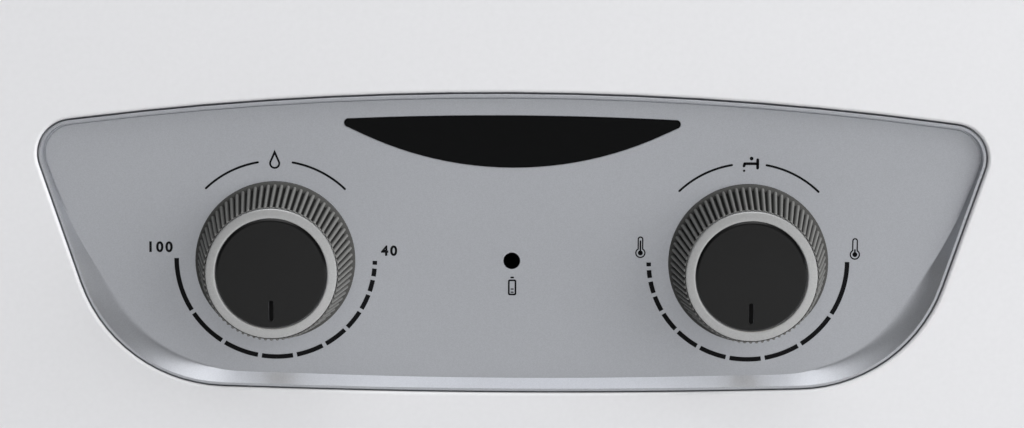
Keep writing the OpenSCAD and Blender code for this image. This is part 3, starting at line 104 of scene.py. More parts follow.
# Corners of the panel's outlines from the middle of the dial line: across, up, radius
PANEL_CORNERS = [(120.8, 34, 8.5), (0, 49.5, 840), (-120.8, 34, 8.5),
                 (-99.1, -30.9, 38), (0, -33.6, 2200), (99.1, -30.9, 38)]
DISH_CORNERS = [(119.6, 33.0, 7.6), (0, 48.6, 840), (-119.6, 33.0, 7.6),
                (-109.4, 4.1, 120), (-84.95, -28.25, 36), (0, -30.5, 1540),
                (84.95, -28.25, 36), (109.4, 4.1, 120)]
BADGE_CORNERS = [(45, 35.6, 1), (0, 37.6, 850), (-45, 35.6, 1), (0, 14.5, 88)]
PANEL_GAP = 0.4
PANEL_FLANGE = 8.0
PANEL_WALL = 2.0
FLANGE_TOP = 2.1
RIM_W = 0.7
DISH_DEPTH = 2.9
DISH_CURVE = 0.3
DISH_STEPS = 16
DISH_STEEP = 3.0
DISH_REACH = 40.0
OUTLINE_STEP = 2.0
FOOT_W = 0.32
FOOT_DEEP = 0.35
GROOVE_W = 1.4
GROOVE_FLOOR = 0.3
BADGE_POCKET = 1.0
BADGE_T = 1.4
BADGE_EDGE = 0.3
BADGE_GAP = 0.1
BADGE_STEPS = 24
BUSH_HOLE_R = 8.65
STUD_HOLE_R = 1.6
STUD_XS = ((60.4, 1), (-60.4, 1), (49.55, -1), (-49.55, -1))

# Dials: dashes that grow round each one and thin arcs over it, with angles in degrees
DIAL_R = 24.85
DASH_W = 1.15
DASH_STEP = 2.27
DASH_GAP = 2.3
DASH_COUNT = 10
DASH_START = 359.5
DASH_LAST = 32.1
THIN_R = DIAL_R + 0.15
THIN_W = 0.55
THIN_SPANS = ((46, 80), (100, 134))
ARC_STEP = 1.5
INK_SUNK = -0.01

# Numbers of the left dial: text, across, up and height
GAS_NUMBERS = (("100", -88.2, 2.9, 2.5), ("40", -30.7, 2.25, 2.4))
DIGIT_SHARE = 0.7
DIGIT_BOLD = 0.13
DIGIT_SPACE = 1.3

# Drop over the left dial: radius and tip of its outer and inner edge
DROP_X = GAS_X - 0.16
DROP_Z = 24.37
DROP_EDGES = ((1.38, 27.84), (0.9, 26.55))

# Tap over the right dial: dots with their place, radius and steps, and strokes with their ends and half width
TAP_DOTS = ((0.55, 26.3, 0.47, 20), (-1.28, 23.2, 0.3, 16))
TAP_STROKES = ((-1.1, 25.0, 2.08, 25.0, 0.34), (-1.15, 25.0, -1.33, 24.4, 0.34),
               (2.08, 23.9, 2.08, 26.0, 0.36))

# Thermometers at the ends of the right scale: across, and the heights of bulb, tube and filling
THERMOMETERS = ((32.2, 2.2, 6.4, 5.2), (85.9, 2.1, 6.3, 3.3))
BULB_R = 1.3
TUBE_HALF = 0.725
GLASS_W = 0.33
FILLED_R = 0.63
FILLED_HALF = 0.2

# Battery sign: half width, low, high and radius of its outer and inner edge, and the bars on it
SIGN_X = 0.13
SIGN_EDGES = ((1.05, -8.8, -4.77, 0.45), (0.62, -8.37, -5.2, 0.15))
SIGN_BARS = ((0.26, -4.26, 0.21), (0.25, -7.2, 0.15), (0.25, -8.0, 0.15))

# Profiles of small turned pieces: radius and height in front of the plane that each one starts from
STUD_PROFILE = [(0, -0.2), (1.5, -0.2), (1.5, -9.4), (1.1, -10), (0, -10)]
LAMP_HOLE = [(0, -4), (1.85, -4), (1.85, -0.3), (2.15, 0.05), (2.15, 1), (0, 1)]
LAMP_R = 1.5
LAMP_FRONT = -1.2
LAMP_REAR = [(0, -11), (1.1, -11), (LAMP_R, -10.6)]

# Knobs, with heights in front of the panel's floor
HUB_PROFILE = [(0, -12), (5.6, -12), (6, -11.6), (6, -9.6), (5, -9.6), (5, -8.2), (6, -8.2), (6, 0.6),
               (19.9, 0.6), (20, 0.7), (20, 1.85), (19.96, 1.96), (19.85, 2.0), (0, 2.0)]
RING_PROFILE = [(13.9, 18.2), (16.2, 18.2), (16.2, 19.4), (16.16, 19.53), (16.05, 19.62), (15.85, 19.69),
                (15.3, 19.8), (14.8, 19.9), (14.35, 19.98), (14.12, 19.98), (13.97, 19.92), (13.9, 19.8)]
HUB_BORE = 3.05
HUB_FLAT = 2.25
HUB_BORE_ENDS = (-14, 1.2)
DISC_R = 13.8
DISC_BACK = 18.2
DISC_FRONT = 19.6
DISC_EDGE = 0.9
POINTER_FLOOR = 18.6
POINTER_ENDS = (-11.4, -7.3)
POINTER_HALVES = ((POINTER_FLOOR, 0.52), (19.62, 0.62), (21, 0.62))

# Places along a grip: height, radius and share of the grooves' depth
GRIP_STATIONS = [(1.6, 19.45, 1), (2.0, 19.4, 1), (18.4, 17.0, 1), (18.9, 16.95, 0.95), (19.2, 16.85, 0.75),
                 (19.35, 16.7, 0.5), (19.38, 16.55, 0.25), (19.3, 16.45, 0), (18.0, 16.42, 0)]

# Height of a rib at nine places across it, as a share of the grooves' depth
RIB_SHAPE = (0.0, 0.06, 0.8, 0.97, 1.0, 0.97, 0.8, 0.06, 0.0)

# Flue collar
COLLAR_FLANGE = 5.0
COLLAR_BEAD = 1.3
COLLAR_BEAD_DOWN = 9.0
BEAD_LONG = 2.8
BEAD_STEPS = 8
ROLL_R = 0.8

# Pipes and leads
PIPE_R = 6.2
PIPE_BEND = 12.0
FIN_BEND = 12.9
FIN_Z = -102.5
ELBOW_LEN = 14.0
ELBOW_HALF = 7.8
ELBOW_EDGE = 1.2
COIL_X = 106.5
COIL_FRONT = -156.5
COIL_REAR = -56.0
VALVE_Y = -110.0
STUB_XS = (-125.0, -59.15, 59.15)
COIL_LAYERS = ((1, -266.0), (-1, -206.5), (1, -147.0))
LEAD_R = 2.0
LEAD_BEND = 8.0
BEND_STEPS = 12
PIPE_ROUNDNESS = 5


def coil_route():
    """Corners of the coil, which goes round three sides of the chamber and back."""
    route = [(COIL_X, COIL_REAR, -327.0)]
    for side, z in COIL_LAYERS:
        route += [(side * COIL_X, COIL_REAR, z), (side * COIL_X, COIL_FRONT, z),
                  (-side * COIL_X, COIL_FRONT, z), (-side * COIL_X, COIL_REAR, z)]
    return route + [(-COIL_X, COIL_REAR, FIN_Z - ELBOW_HALF)]


PIPE_ROUTES = {
    "hot_pipe": [(-104.3, -134, FIN_Z), (-125, -134, FIN_Z), (-125, -134, -354), (-125, VALVE_Y, -384),
                 (-125, VALVE_Y, -461)],
    "cold_pipe": [(59.15, VALVE_Y, -379), (59.15, VALVE_Y, -354), (COIL_X, VALVE_Y, -354),
                  (COIL_X, COIL_REAR, -354), (COIL_X, COIL_REAR, -327)],
    "gas_pipe": [(-59.15, VALVE_Y, -379), (-59.15, VALVE_Y, -354), (-59.15, -165, -354),
                 (-59.15, -165, -334)],
    "fin_tube": [(-100.3, -56, FIN_Z), (116, -56, FIN_Z), (116, -82, FIN_Z), (-116, -82, FIN_Z),
                 (-116, -108, FIN_Z), (116, -108, FIN_Z), (116, -134, FIN_Z), (-104.3, -134, FIN_Z)],
    "exchanger_coil": coil_route(),
}
IGNITION_ROUTE = [(28, -165, -284), (28, -180, -284), (28, -180, -362), (28, -37.2, -362)]
SENSOR_ROUTE = [(-28, -165, -284), (-28, -180, -284), (-28, -180, -362), (-28, -60, -362), (15, -60, -362),
                (15, -37.2, -362)]

# Connections
THREAD_R = 10.48
THREAD_DEEP = 1.16
THREAD_TOP = -525.0
THREAD_STEPS = 40
NECK_R = 9.88
STUB_R = 11.0
STUB_BORE = 6.0
COLLAR_LOW = -498.5
COLLAR_TOP = -490.5
NUT_R = 15.0
SMALL_NUT_R = 12.5
NUT_H = 9.0
NUT_Z = -509.0
SMALL_NUT_PLACES = ((-125.0, -461.0), (-59.15, -379.0), (59.15, -379.0))

# Screws and the cross in their heads
HEAD_R = 3.8
HEAD_H = 2.2
DOME_LOW = 0.45 * HEAD_H
CROSS_REACH = 0.55 * HEAD_R
CROSS_HALF = 0.13 * HEAD_R
CROSS_FLOOR = 0.35 * HEAD_H
SCREW_R = 2.0
COVER_SCREW_LEN = 8.3
BRACKET_SCREW_SPOTS = ((70, -195), (-70, -195), (60, -326), (-60, -326), (-90, -491), (30, -491))

# Rounding of the edges of the castings, the moulded housings and the folded sheets
CAST_EDGES = {"gas_valve_body": 0.9, "water_valve_body": 0.9, "diaphragm_cover": 0.8, "gas_manifold": 0.6}
HOUSING_EDGES = {"ignition_unit": 1.0, "microswitch": 0.4, "battery_box": 0.6, "battery_drawer": 0.5,
                 "gas_solenoid": 0.6, "lamp_holder": 0.3, "knob_bushes": 0.3, "thermal_switches": 0.3}
SHEET_EDGES = {"back_plate": 0.25, "wall_brackets": 0.3, "pipe_bracket": 0.3, "switch_bracket": 0.25,
               "draught_hood": 0.2, "chamber_shell": 0.2, "burner_tray": 0.15}
EDGE_STEPS = 3
EDGE_ANGLE = math.radians(40)
FLAT_ANGLE = math.radians(0.4)

# Joint that presses each spring
SPRING_JOINTS = {"diaphragm_spring": "push_rod_slide", "plunger_spring": "solenoid_plunger_slide"}


class HeaterSizes(bpy.types.PropertyGroup):
    """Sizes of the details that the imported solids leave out."""
    lip_round: FloatProperty(
        name="Lip round", description="Radius of the cover's edge round the panel",
        default=0.9 * MM, min=0.2 * MM, max=0.95 * MM, unit="LENGTH")
    rim_round: FloatProperty(
        name="Rim round", description="Radius of the edges of the panel's rim",
        default=0.34 * MM, min=0.1 * MM, max=0.38 * MM, unit="LENGTH")
    ink_height: FloatProperty(
        name="Ink height", description="Thickness of the printed marks",
        default=0.04 * MM, min=0.02 * MM, max=0.1 * MM, unit="LENGTH")
    rib_count: IntProperty(
        name="Ribs", description="Ribs round each knob", default=72, min=48, max=90)
    rib_depth: FloatProperty(
        name="Rib depth", description="Depth of the grooves between the ribs",
        default=0.9 * MM, min=0.3 * MM, max=1.2 * MM, unit="LENGTH")
    thread_pitch: FloatProperty(
        name="Thread pitch", description="Pitch of the pipe threads",
        default=1.814 * MM, min=1 * MM, max=2.5 * MM, unit="LENGTH")


class HeaterColours(bpy.types.PropertyGroup):
    """Colours of what the photograph shows."""
    cover: FloatVectorProperty(
        name="Cover", description="Enamel of the cover", subtype="COLOR",
        default=(0.83, 0.83, 0.85), min=0, max=1)
    panel: FloatVectorProperty(
        name="Panel", description="Paint of the control panel", subtype="COLOR",
        default=(0.55, 0.564, 0.6), min=0, max=1)
    grip: FloatVectorProperty(
        name="Knob grip", description="Ribbed part of the knobs", subtype="COLOR",
        default=(0.2, 0.2, 0.194), min=0, max=1)
    ring: FloatVectorProperty(
        name="Knob ring", description="Ring on the knobs' front", subtype="COLOR",
        default=(0.53, 0.532, 0.532), min=0, max=1)
    disc: FloatVectorProperty(
        name="Knob disc", description="Disc in the knobs' front", subtype="COLOR",
        default=(0.007, 0.007, 0.007), min=0, max=1)
    badge: FloatVectorProperty(
        name="Badge", description="Bare badge plate", subtype="COLOR",
        default=(0.002, 0.0022, 0.0024), min=0, max=1)
    ink: FloatVectorProperty(
        name="Ink", description="Printed marks of the dials", subtype="COLOR",
        default=(0.006, 0.006, 0.007), min=0, max=1)
    lamp: FloatVectorProperty(
        name="Lamp", description="Indicator lamp while it is off", subtype="COLOR",
        default=(0.05, 0.006, 0.004), min=0, max=1)


class HeaterStage(bpy.types.PropertyGroup):
    """Light and camera."""
    key_power: FloatProperty(
        name="Key light", description="Power of the soft light at the upper right",
        default=132.0, min=0, soft_max=400, unit="POWER")
    top_power: FloatProperty(
        name="Top light", description="Power of the soft light above",
        default=4.0, min=0, soft_max=60, unit="POWER")
    sky_level: FloatProperty(
        name="Sky", description="Brightness of the surroundings", default=1.15, min=0, max=3)
    lens: FloatProperty(
        name="Lens", description="Focal length of the camera in millimetres",
        default=148.4, min=20, max=300)
    camera_place: FloatVectorProperty(
        name="Camera", description="Place of the camera from the middle of the panel",
        default=(0.0044, -1.04, 0.193), subtype="TRANSLATION")
    camera_aim: FloatVectorProperty(
        name="Aim", description="Point that the camera looks at, from the middle of the panel",
        default=(0, 0, 0.0119), subtype="TRANSLATION")
    camera_roll: FloatProperty(
        name="Roll", description="Turn of the camera about its line of sight",
        default=math.radians(0.3), subtype="ANGLE")


# Outlines

def turns(steps, angle=math.pi / 2, first=0.0):
    """Cosine and sine at equal steps of an angle."""
    angles = [first + angle * k / steps for k in range(steps + 1)]
    return [(math.cos(a), math.sin(a)) for a in angles]


def bend(before, corner, after, radius, steps):
    """Points along the round of a corner between its two neighbours."""
    corner = Vector(corner)
    to_last = (Vector(before) - corner).normalized()
    to_next = (Vector(after) - corner).normalized()
    half = to_last.angle(to_next) / 2
    centre = corner + (to_last + to_next).normalized() * radius / math.sin(half)
    start = corner + to_last * radius / math.tan(half) - centre
    end = corner + to_next * radius / math.tan(half) - centre
    turn = math.pi - 2 * half
    angles = [turn * k / steps for k in range(steps + 1)]
    return [centre + (start * math.sin(turn - a) + end * math.sin(a)) / math.sin(turn) for a in angles]


def rounded(corners, steps=14):
    """Outline through corners given as across, up and radius."""
    points = []
    for i, (x, y, radius) in enumerate(corners):
        if radius > 0:
            points += bend(corners[i - 1][:2], (x, y), corners[(i + 1) % len(corners)][:2], radius, steps)
        else:
            points.append(Vector((x, y)))
    return points


def grown(points, distance):
    """An outline moved outwards by a distance."""
    moved = []
    for i, point in enumerate(points):
        before = (point - points[i - 1]).normalized()
        after = (points[(i + 1) % len(points)] - point).normalized()
        along = (before + after).normalized()
        moved.append(point + distance * Vector((along.y, -along.x)))
    return moved


def dense(points, step):
    """An outline with more points along its long sides."""
    filled = []
    for i, point in enumerate(points):
        last = points[i - 1]
        count = math.ceil((point - last).length / step)
        filled += [last.lerp(point, k / count) for k in range(count)]
    return filled


def widths_to(points, inner):
    """How far an inner outline lies from each point, straight inwards."""
    widths = []
    for point, ahead in zip(points, grown(points, -DISH_REACH)):
        hits = [intersect_line_line_2d(point, ahead, a, b) for a, b in zip(inner, inner[1:] + inner[:1])]
        widths.append(min((hit - point).length for hit in hits if hit))
    return widths


def circle(x, y, radius, steps=24):
    """Points round a circle."""
    return [Vector((x + radius * c, y + radius * s)) for c, s in turns(steps, 2 * math.pi)[:-1]]


def stadium(x0, y0, x1, y1, radius, steps=8):
    """Outline round a line from one point to another."""
    start, end = Vector((x0, y0)), Vector((x1, y1))
    turn = math.atan2(y1 - y0, x1 - x0)
    points = []
    for centre, first in ((end, turn - math.pi / 2), (start, turn + math.pi / 2)):
        points += [centre + radius * Vector(way) for way in turns(steps, math.pi, first)]
    return points


def on_panel(points, height):
    """Points of the panel's plane as places in front of its floor."""
    return [(p[0], FLOOR_Y - height, DIAL_Z + p[1]) for p in points]


def upright(points, *heights):
    """An outline seen from above, at each of the heights."""
    return [[(p[0], p[1], z) for p in points] for z in heights]


def sideways(points, *places):
    """An outline seen from the side, at each of the places across."""
    return [[(x, p[0], p[1]) for p in points] for x in places]


# Modelling

def deselect():
    """Leaves edit mode and deselects everything."""
    if bpy.context.mode != "OBJECT":
        bpy.ops.object.mode_set(mode="OBJECT")
    bpy.ops.object.select_all(action="DESELECT")


def pick(*pieces):
    """Selects the pieces alone and makes the first one active."""
    deselect()
    for piece in pieces:
        piece.select_set(True)
    bpy.context.view_layer.objects.active = pieces[0]


def start_wire(name, points):
    """A closed wire through points, in edit mode with all of it selected."""
    deselect()
    bpy.ops.mesh.primitive_circle_add(vertices=len(points), radius=MM)
    piece = bpy.context.object
    piece.name = name
    piece.data.name = name
    for vert, point in zip(piece.data.vertices, points):
        vert.co = Vector(point) * MM
    bpy.ops.object.mode_set(mode="EDIT")
    bpy.ops.mesh.select_all(action="SELECT")
    return piece


def clean():
    """Merges doubles, drops what has no area and turns the normals outwards."""
    bpy.ops.mesh.select_all(action="SELECT")
    bpy.ops.mesh.remove_doubles(threshold=1e-6)
    bpy.ops.mesh.delete_loose(use_verts=True, use_edges=True, use_faces=False)
    bpy.ops.mesh.select_all(action="SELECT")
    bpy.ops.mesh.normals_make_consistent(inside=False)
    bpy.ops.object.mode_set(mode="OBJECT")


def loft(name, loops, ring=False):
    """A solid through loops with equally many points; a ring closes on its first loop."""
    piece = start_wire(name, loops[0])
    nexts = loops[1:] + (loops[:1] if ring else [])
    for last, new in zip(loops, nexts):
        tree = KDTree(len(last))
        for i, point in enumerate(last):
            tree.insert(Vector(point) * MM, i)
        tree.balance()
        bpy.ops.mesh.extrude_region_move()
        mesh = bmesh.from_edit_mesh(piece.data)
        for vert in mesh.verts:
            if vert.select:
                vert.co = Vector(new[tree.find(vert.co)[1]]) * MM
        bmesh.update_edit_mesh(piece.data)
    if not ring:
        bpy.ops.mesh.select_all(action="SELECT")
        bpy.ops.mesh.fill_holes(sides=0)
    clean()
    return piece


def prism(name, points, rear, front):
    """A plate of the panel's plane between two heights in front of its floor."""
    return loft(name, [on_panel(points, rear), on_panel(points, front)])


def lathe(name, profile, centre, axis="Z", steps=64):
    """Turns a closed profile of radius and height about an upright axis or one towards the front."""
    x, y, z = centre
    if axis == "Y":
        points = [(x + r, y - h, z) for r, h in profile]
        line = (0, 1, 0)
    else:
        points = [(x + r, y, z + h) for r, h in profile]
        line = (0, 0, 1)
    piece = start_wire(name, points)
    bpy.ops.mesh.spin(steps=steps, angle=2 * math.pi, center=Vector(centre) * MM, axis=line)
    clean()
    return piece


def tube(name, route, radius, bend_r):
    """A pipe along a route whose corners are bent to a radius."""
    points = [Vector(route[0])]
    for before, corner, after in zip(route, route[1:], route[2:]):
        points += bend(before, corner, after, bend_r, BEND_STEPS)
    points.append(Vector(route[-1]))
    piece = start_wire(name, points)
    bpy.ops.mesh.select_all(action="DESELECT")
    bpy.ops.mesh.select_mode(type="EDGE")
    mesh = bmesh.from_edit_mesh(piece.data)
    mesh.verts.ensure_lookup_table()
    mesh.edges.get((mesh.verts[0], mesh.verts[len(points) - 1])).select_set(True)
    bmesh.update_edit_mesh(piece.data)
    bpy.ops.mesh.delete(type="EDGE")
    bpy.ops.mesh.select_mode(type="VERT")
    bpy.ops.object.mode_set(mode="OBJECT")
    bpy.ops.object.convert(target="CURVE")
    piece.data.bevel_depth = radius * MM
    piece.data.bevel_resolution = PIPE_ROUNDNESS
    piece.data.use_fill_caps = True
    bpy.ops.object.convert(target="MESH")
    bpy.ops.object.mode_set(mode="EDIT")
    clean()
    return bpy.context.object


def modify(piece, kind, **settings):
    """Gives a piece a modifier with settings and applies it."""
    pick(piece)
    bpy.ops.object.modifier_add(type=kind)
    modifier = piece.modifiers[-1]
    for key, value in settings.items():
        setattr(modifier, key, value)
    bpy.ops.object.modifier_apply(modifier=modifier.name)


def combine(piece, tool, operation="DIFFERENCE"):
    """Cuts a piece by a tool, or keeps what they share, and removes the tool."""
    modify(piece, "BOOLEAN", operation=operation, solver="EXACT", object=tool)
    bpy.data.objects.remove(tool)


def join(name, pieces):
    """Joins pieces into one with a name."""
    pick(*pieces)
    if len(pieces) > 1:
        bpy.ops.object.join()
    piece = bpy.context.object
    piece.name = name
    piece.data.name = name
    return piece


def copy_at(piece, name, shift):
    """A copy with its own mesh, moved by a shift in millimetres."""
    pick(piece)
    bpy.ops.object.duplicate(linked=False)
    copy = bpy.context.object
    copy.name = name
    copy.data.name = name
    bpy.ops.object.mode_set(mode="EDIT")
    bpy.ops.mesh.select_all(action="SELECT")
    bpy.ops.transform.translate(value=Vector(shift) * MM)
    bpy.ops.object.mode_set(mode="OBJECT")
    return copy


def copies(piece, shifts):
    """Copies of a piece at shifts in millimetres, in place of the piece itself."""
    made = [copy_at(piece, piece.name, shift) for shift in shifts]
    bpy.data.objects.remove(piece)
    return made


def dress(piece, slot, body, *nodes, angle=35, flat=False):
    """Smooths a piece, gives it its material and sets it on its body."""
    pick(piece)
    bpy.ops.object.mode_set(mode="EDIT")
    clean()
    bpy.ops.object.shade_smooth_by_angle(angle=math.radians(angle))
    if flat:
        modify(piece, "WEIGHTED_NORMAL", keep_sharp=True)
    piece.data.materials.clear()
    piece.data.materials.append(material(slot))
    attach(piece, body)
    if nodes:
        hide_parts(*nodes)
    return piece


def node_copy(node):
    """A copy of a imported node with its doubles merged."""
    deselect()
    name = node + "_form"
    piece = bpy.data.objects.new(name, frame["nodes"][node].data.copy())
    piece.data.name = name
    bpy.context.scene.collection.objects.link(piece)
    pick(piece)
    bpy.ops.object.mode_set(mode="EDIT")
    clean()
    return piece


def soften(node, width):
    """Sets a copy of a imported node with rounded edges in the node's place."""
    piece = node_copy(node)
    bpy.ops.object.mode_set(mode="EDIT")
    bpy.ops.mesh.dissolve_limited(angle_limit=FLAT_ANGLE)
    modify(piece, "BEVEL", width=width * MM, segments=EDGE_STEPS, limit_method="ANGLE",
           angle_limit=EDGE_ANGLE)
    dress(piece, SLOT_OF[node], BODY_OF.get(node, "chassis"), node, flat=True)


# Materials, whose patterns are measured in metres
NOISE_RANGE = (0.3, 0.7)
STREAK_STRETCH = (1.0, 1.0, 0.06)
SPANGLE_BENDS = 60
SPANGLE_SHIFT = (0.012, 0.012, 0.012)
WEAR_SCALE = 14
WEAR_RANGE = (0.42, 0.72)
HEAT_SCALE = 35
HEAT_RANGE = (0.35, 0.65)
HEAT_HEIGHTS = (-0.38, -0.28)
COAT_ROUGH = 0.12
BUMP_STRENGTH = 0.6


def feed(tree, value, socket):
    """Gives a socket its value, which is another socket, a number or a colour."""
    if isinstance(value, bpy.types.NodeSocket):
        tree.links.new(value, socket)
    else:
        socket.default_value = value


def add_node(tree, kind, **values):
    """A shader node whose named sockets are fed with values."""
    made = tree.nodes.new("ShaderNode" + kind)
    for label, value in values.items():
        feed(tree, value, made.inputs[label])
    return made


def spread(tree, value, from_low, from_high, to_low, to_high):
    """Maps a value from one range to another."""
    made = add_node(tree, "MapRange", Value=value)
    for socket, number in zip(made.inputs[1:5], (from_low, from_high, to_low, to_high)):
        socket.default_value = number
    return made.outputs[0]


def vector_math(tree, operation, *values):
    """A vector that an operation makes from others."""
    made = add_node(tree, "VectorMath")
    made.operation = operation
    for socket, value in zip(made.inputs, values):
        feed(tree, value, socket)
    return made.outputs[0]


def colour_mix(tree, factor, low, high):
    """A colour between two, each a colour or a socket."""
    made = add_node(tree, "Mix")
    made.data_type = "RGBA"
    feed(tree, factor, made.inputs[0])
    for socket, colour in ((made.inputs[6], low), (made.inputs[7], high)):
        feed(tree, colour if isinstance(colour, bpy.types.NodeSocket) else (*colour, 1.0), socket)
    return made.outputs[2]


def noise(tree, vector, scale, detail, roughness):
    """A cloudy pattern: its value and its colour."""
    return add_node(tree, "TexNoise", Vector=vector, Scale=scale, Detail=detail, Roughness=roughness).outputs


def cells(tree, vector, scale):
    """A pattern of cells: two values that are random in each cell, and the distance to its middle."""
    made = add_node(tree, "TexVoronoi", Vector=vector, Scale=scale)
    parts = add_node(tree, "SeparateColor", Color=made.outputs["Color"])
    return parts.outputs[0], parts.outputs[1], made.outputs["Distance"]


def grain(tree, vector, scale):
    """Fine even grain of moulded plastic, paint and cast metal."""
    fine = noise(tree, vector, scale, detail=3, roughness=0.55)[0]
    return spread(tree, fine, *NOISE_RANGE, 0, 1), fine


def flakes(tree, vector, scale):
    """Metal flakes of silver paint."""
    return cells(tree, vector, scale)[:2]


def streaks(tree, vector, scale):
    """Drawing lines of sheet metal and turned pieces."""
    long = vector_math(tree, "MULTIPLY", vector, STREAK_STRETCH)
    lines = noise(tree, long, scale, detail=4, roughness=0.7)[0]
    return spread(tree, lines, *NOISE_RANGE, 0, 1), lines


def spangle(tree, vector, scale):
    """Crystals of galvanised sheet."""
    bent = noise(tree, vector, SPANGLE_BENDS, detail=2, roughness=0.55)[1]
    shifted = vector_math(tree, "MULTIPLY_ADD", bent, SPANGLE_SHIFT, vector)
    tone, _, distance = cells(tree, shifted, scale)
    return tone, distance


def wear(tree, vector, scale):
    """Broad uneven patches of handling and dust."""
    broad = noise(tree, vector, scale, detail=5, roughness=0.65)[0]
    return spread(tree, broad, *WEAR_RANGE, 0, 1), broad


def heat(tree, vector, scale):
    """Stain of metal near the flames, by its height."""
    rise = spread(tree, add_node(tree, "SeparateXYZ", Vector=vector).outputs[2], *HEAT_HEIGHTS, 0, 1)
    cloud = noise(tree, vector, scale, detail=4, roughness=0.7)[0]
    stain = add_node(tree, "Math")
    stain.operation = "MULTIPLY"
    feed(tree, rise, stain.inputs[0])
    feed(tree, spread(tree, cloud, *HEAT_RANGE, 0, 1), stain.inputs[1])
    return stain.outputs[0], cloud


EFFECTS = {recipe.__name__: recipe for recipe in (grain, flakes, streaks, spangle, wear, heat)}
EFFECT_SOCKETS = (("Vector", "INPUT", "NodeSocketVector"), ("Scale", "INPUT", "NodeSocketFloat"),
                  ("Value", "OUTPUT", "NodeSocketFloat"), ("Height", "OUTPUT", "NodeSocketFloat"))

# Scale of the effect, tint, roughness and its spread, then what not every finish has; bump is in millimetres
Finish = namedtuple("Finish", "effect scale tint rough uneven metal coat bump stain gloss",
                    defaults=(0, 0, 0, 0, 0.5))
FINISHES = {
    "cover_white": Finish("grain", 700, 0.012, 0.36, 0.05, coat=0.2, bump=0.003),
    "panel_silver": Finish("flakes", 5200, 0.05, 0.38, 0.03, metal=0.7, gloss=0.4),
    "badge_black": Finish("grain", 500, 0.1, 0.2, 0.03, bump=0.001, gloss=0.1),
    "lamp_red": Finish("grain", 900, 0.1, 0.2, 0.02, coat=0.3, gloss=0.4),
    "knob_grey": Finish("grain", 2600, 0.06, 0.5, 0.04, gloss=0.05),
    "knob_silver": Finish("flakes", 5200, 0.06, 0.42, 0.04, metal=0.5),
    "knob_black": Finish("grain", 2600, 0.12, 0.26, 0.04, bump=0.002, gloss=0.35),
    "black_plastic": Finish("grain", 1800, 0.14, 0.5, 0.08, bump=0.012),
    "unit_grey": Finish("grain", 1800, 0.08, 0.5, 0.08, bump=0.012),
    "galvanised": Finish("spangle", 150, 0.07, 0.38, 0.1, metal=1, bump=0.004),
    "hood_steel": Finish("streaks", 900, 0.1, 0.36, 0.1, metal=1, bump=0.004, stain=0.12),
    "screw_steel": Finish("grain", 1500, 0.08, 0.32, 0.08, metal=1, bump=0.004),
    "spring_steel": Finish("streaks", 1500, 0.08, 0.28, 0.06, metal=1, bump=0.002),
    "burner_steel": Finish("streaks", 900, 0.1, 0.36, 0.1, metal=1, bump=0.004, stain=0.6),
    "copper": Finish("streaks", 700, 0.12, 0.3, 0.1, metal=1, bump=0.003, stain=0.5),
    "brass": Finish("streaks", 1100, 0.1, 0.3, 0.08, metal=1, bump=0.004),
    "die_cast": Finish("grain", 700, 0.08, 0.46, 0.08, metal=1, bump=0.02),
    "ceramic": Finish("grain", 900, 0.03, 0.22, 0.04, coat=0.4, bump=0.002),
    "rubber": Finish("grain", 1400, 0.15, 0.65, 0.08, bump=0.01),
    "lead_red": Finish("streaks", 900, 0.1, 0.5, 0.06, bump=0.006),
    "lead_white": Finish("streaks", 900, 0.05, 0.5, 0.06, bump=0.006),
    "switch_red": Finish("grain", 1500, 0.06, 0.35, 0.05, coat=0.1, bump=0.004),
    "cell_label": Finish("streaks", 500, 0.08, 0.3, 0.05, metal=0.6, coat=0.3, bump=0.001),
    "ink": Finish("grain", 1500, 0.15, 0.7, 0.06, gloss=0.12),
}
STAIN = (0.10, 0.045, 0.025)
# Painted shade on the knobs: where their "groove" attribute is 1, the colour is darkened to GROOVE_SHADE of itself
# and the paint is made duller. The grip's hub and foot flange get FLANGE_SHADE of that painted shade.
GROOVED = ("knob_grey", "knob_black")
GROOVE_SHADE = 0.1
GROOVE_DULL = 0.95
FLANGE_SHADE = 0.6
SHOWN = {"cover_white": "cover", "panel_silver": "panel", "knob_grey": "grip", "knob_silver": "ring",
         "knob_black": "disc", "badge_black": "badge", "ink": "ink", "lamp_red": "lamp"}


def effect(tree, name, vector, scale):
    """The outputs of an effect's shader group, built at its first use and placed in a material."""
    label = "heater_" + name
    group = bpy.data.node_groups.get(label)
    if not group:
        group = bpy.data.node_groups.new(label, "ShaderNodeTree")
        for socket, way, kind in EFFECT_SOCKETS:
            group.interface.new_socket(socket, in_out=way, socket_type=kind)
        given = group.nodes.new("NodeGroupInput").outputs
        value, height = EFFECTS[name](group, given["Vector"], given["Scale"])
        result = group.nodes.new("NodeGroupOutput").inputs
        feed(group, value, result["Value"])
        feed(group, height, result["Height"])
    placed = tree.nodes.new("ShaderNodeGroup")
    placed.node_tree = group
    feed(tree, vector, placed.inputs["Vector"])
    feed(tree, scale, placed.inputs["Scale"])
    return placed.outputs


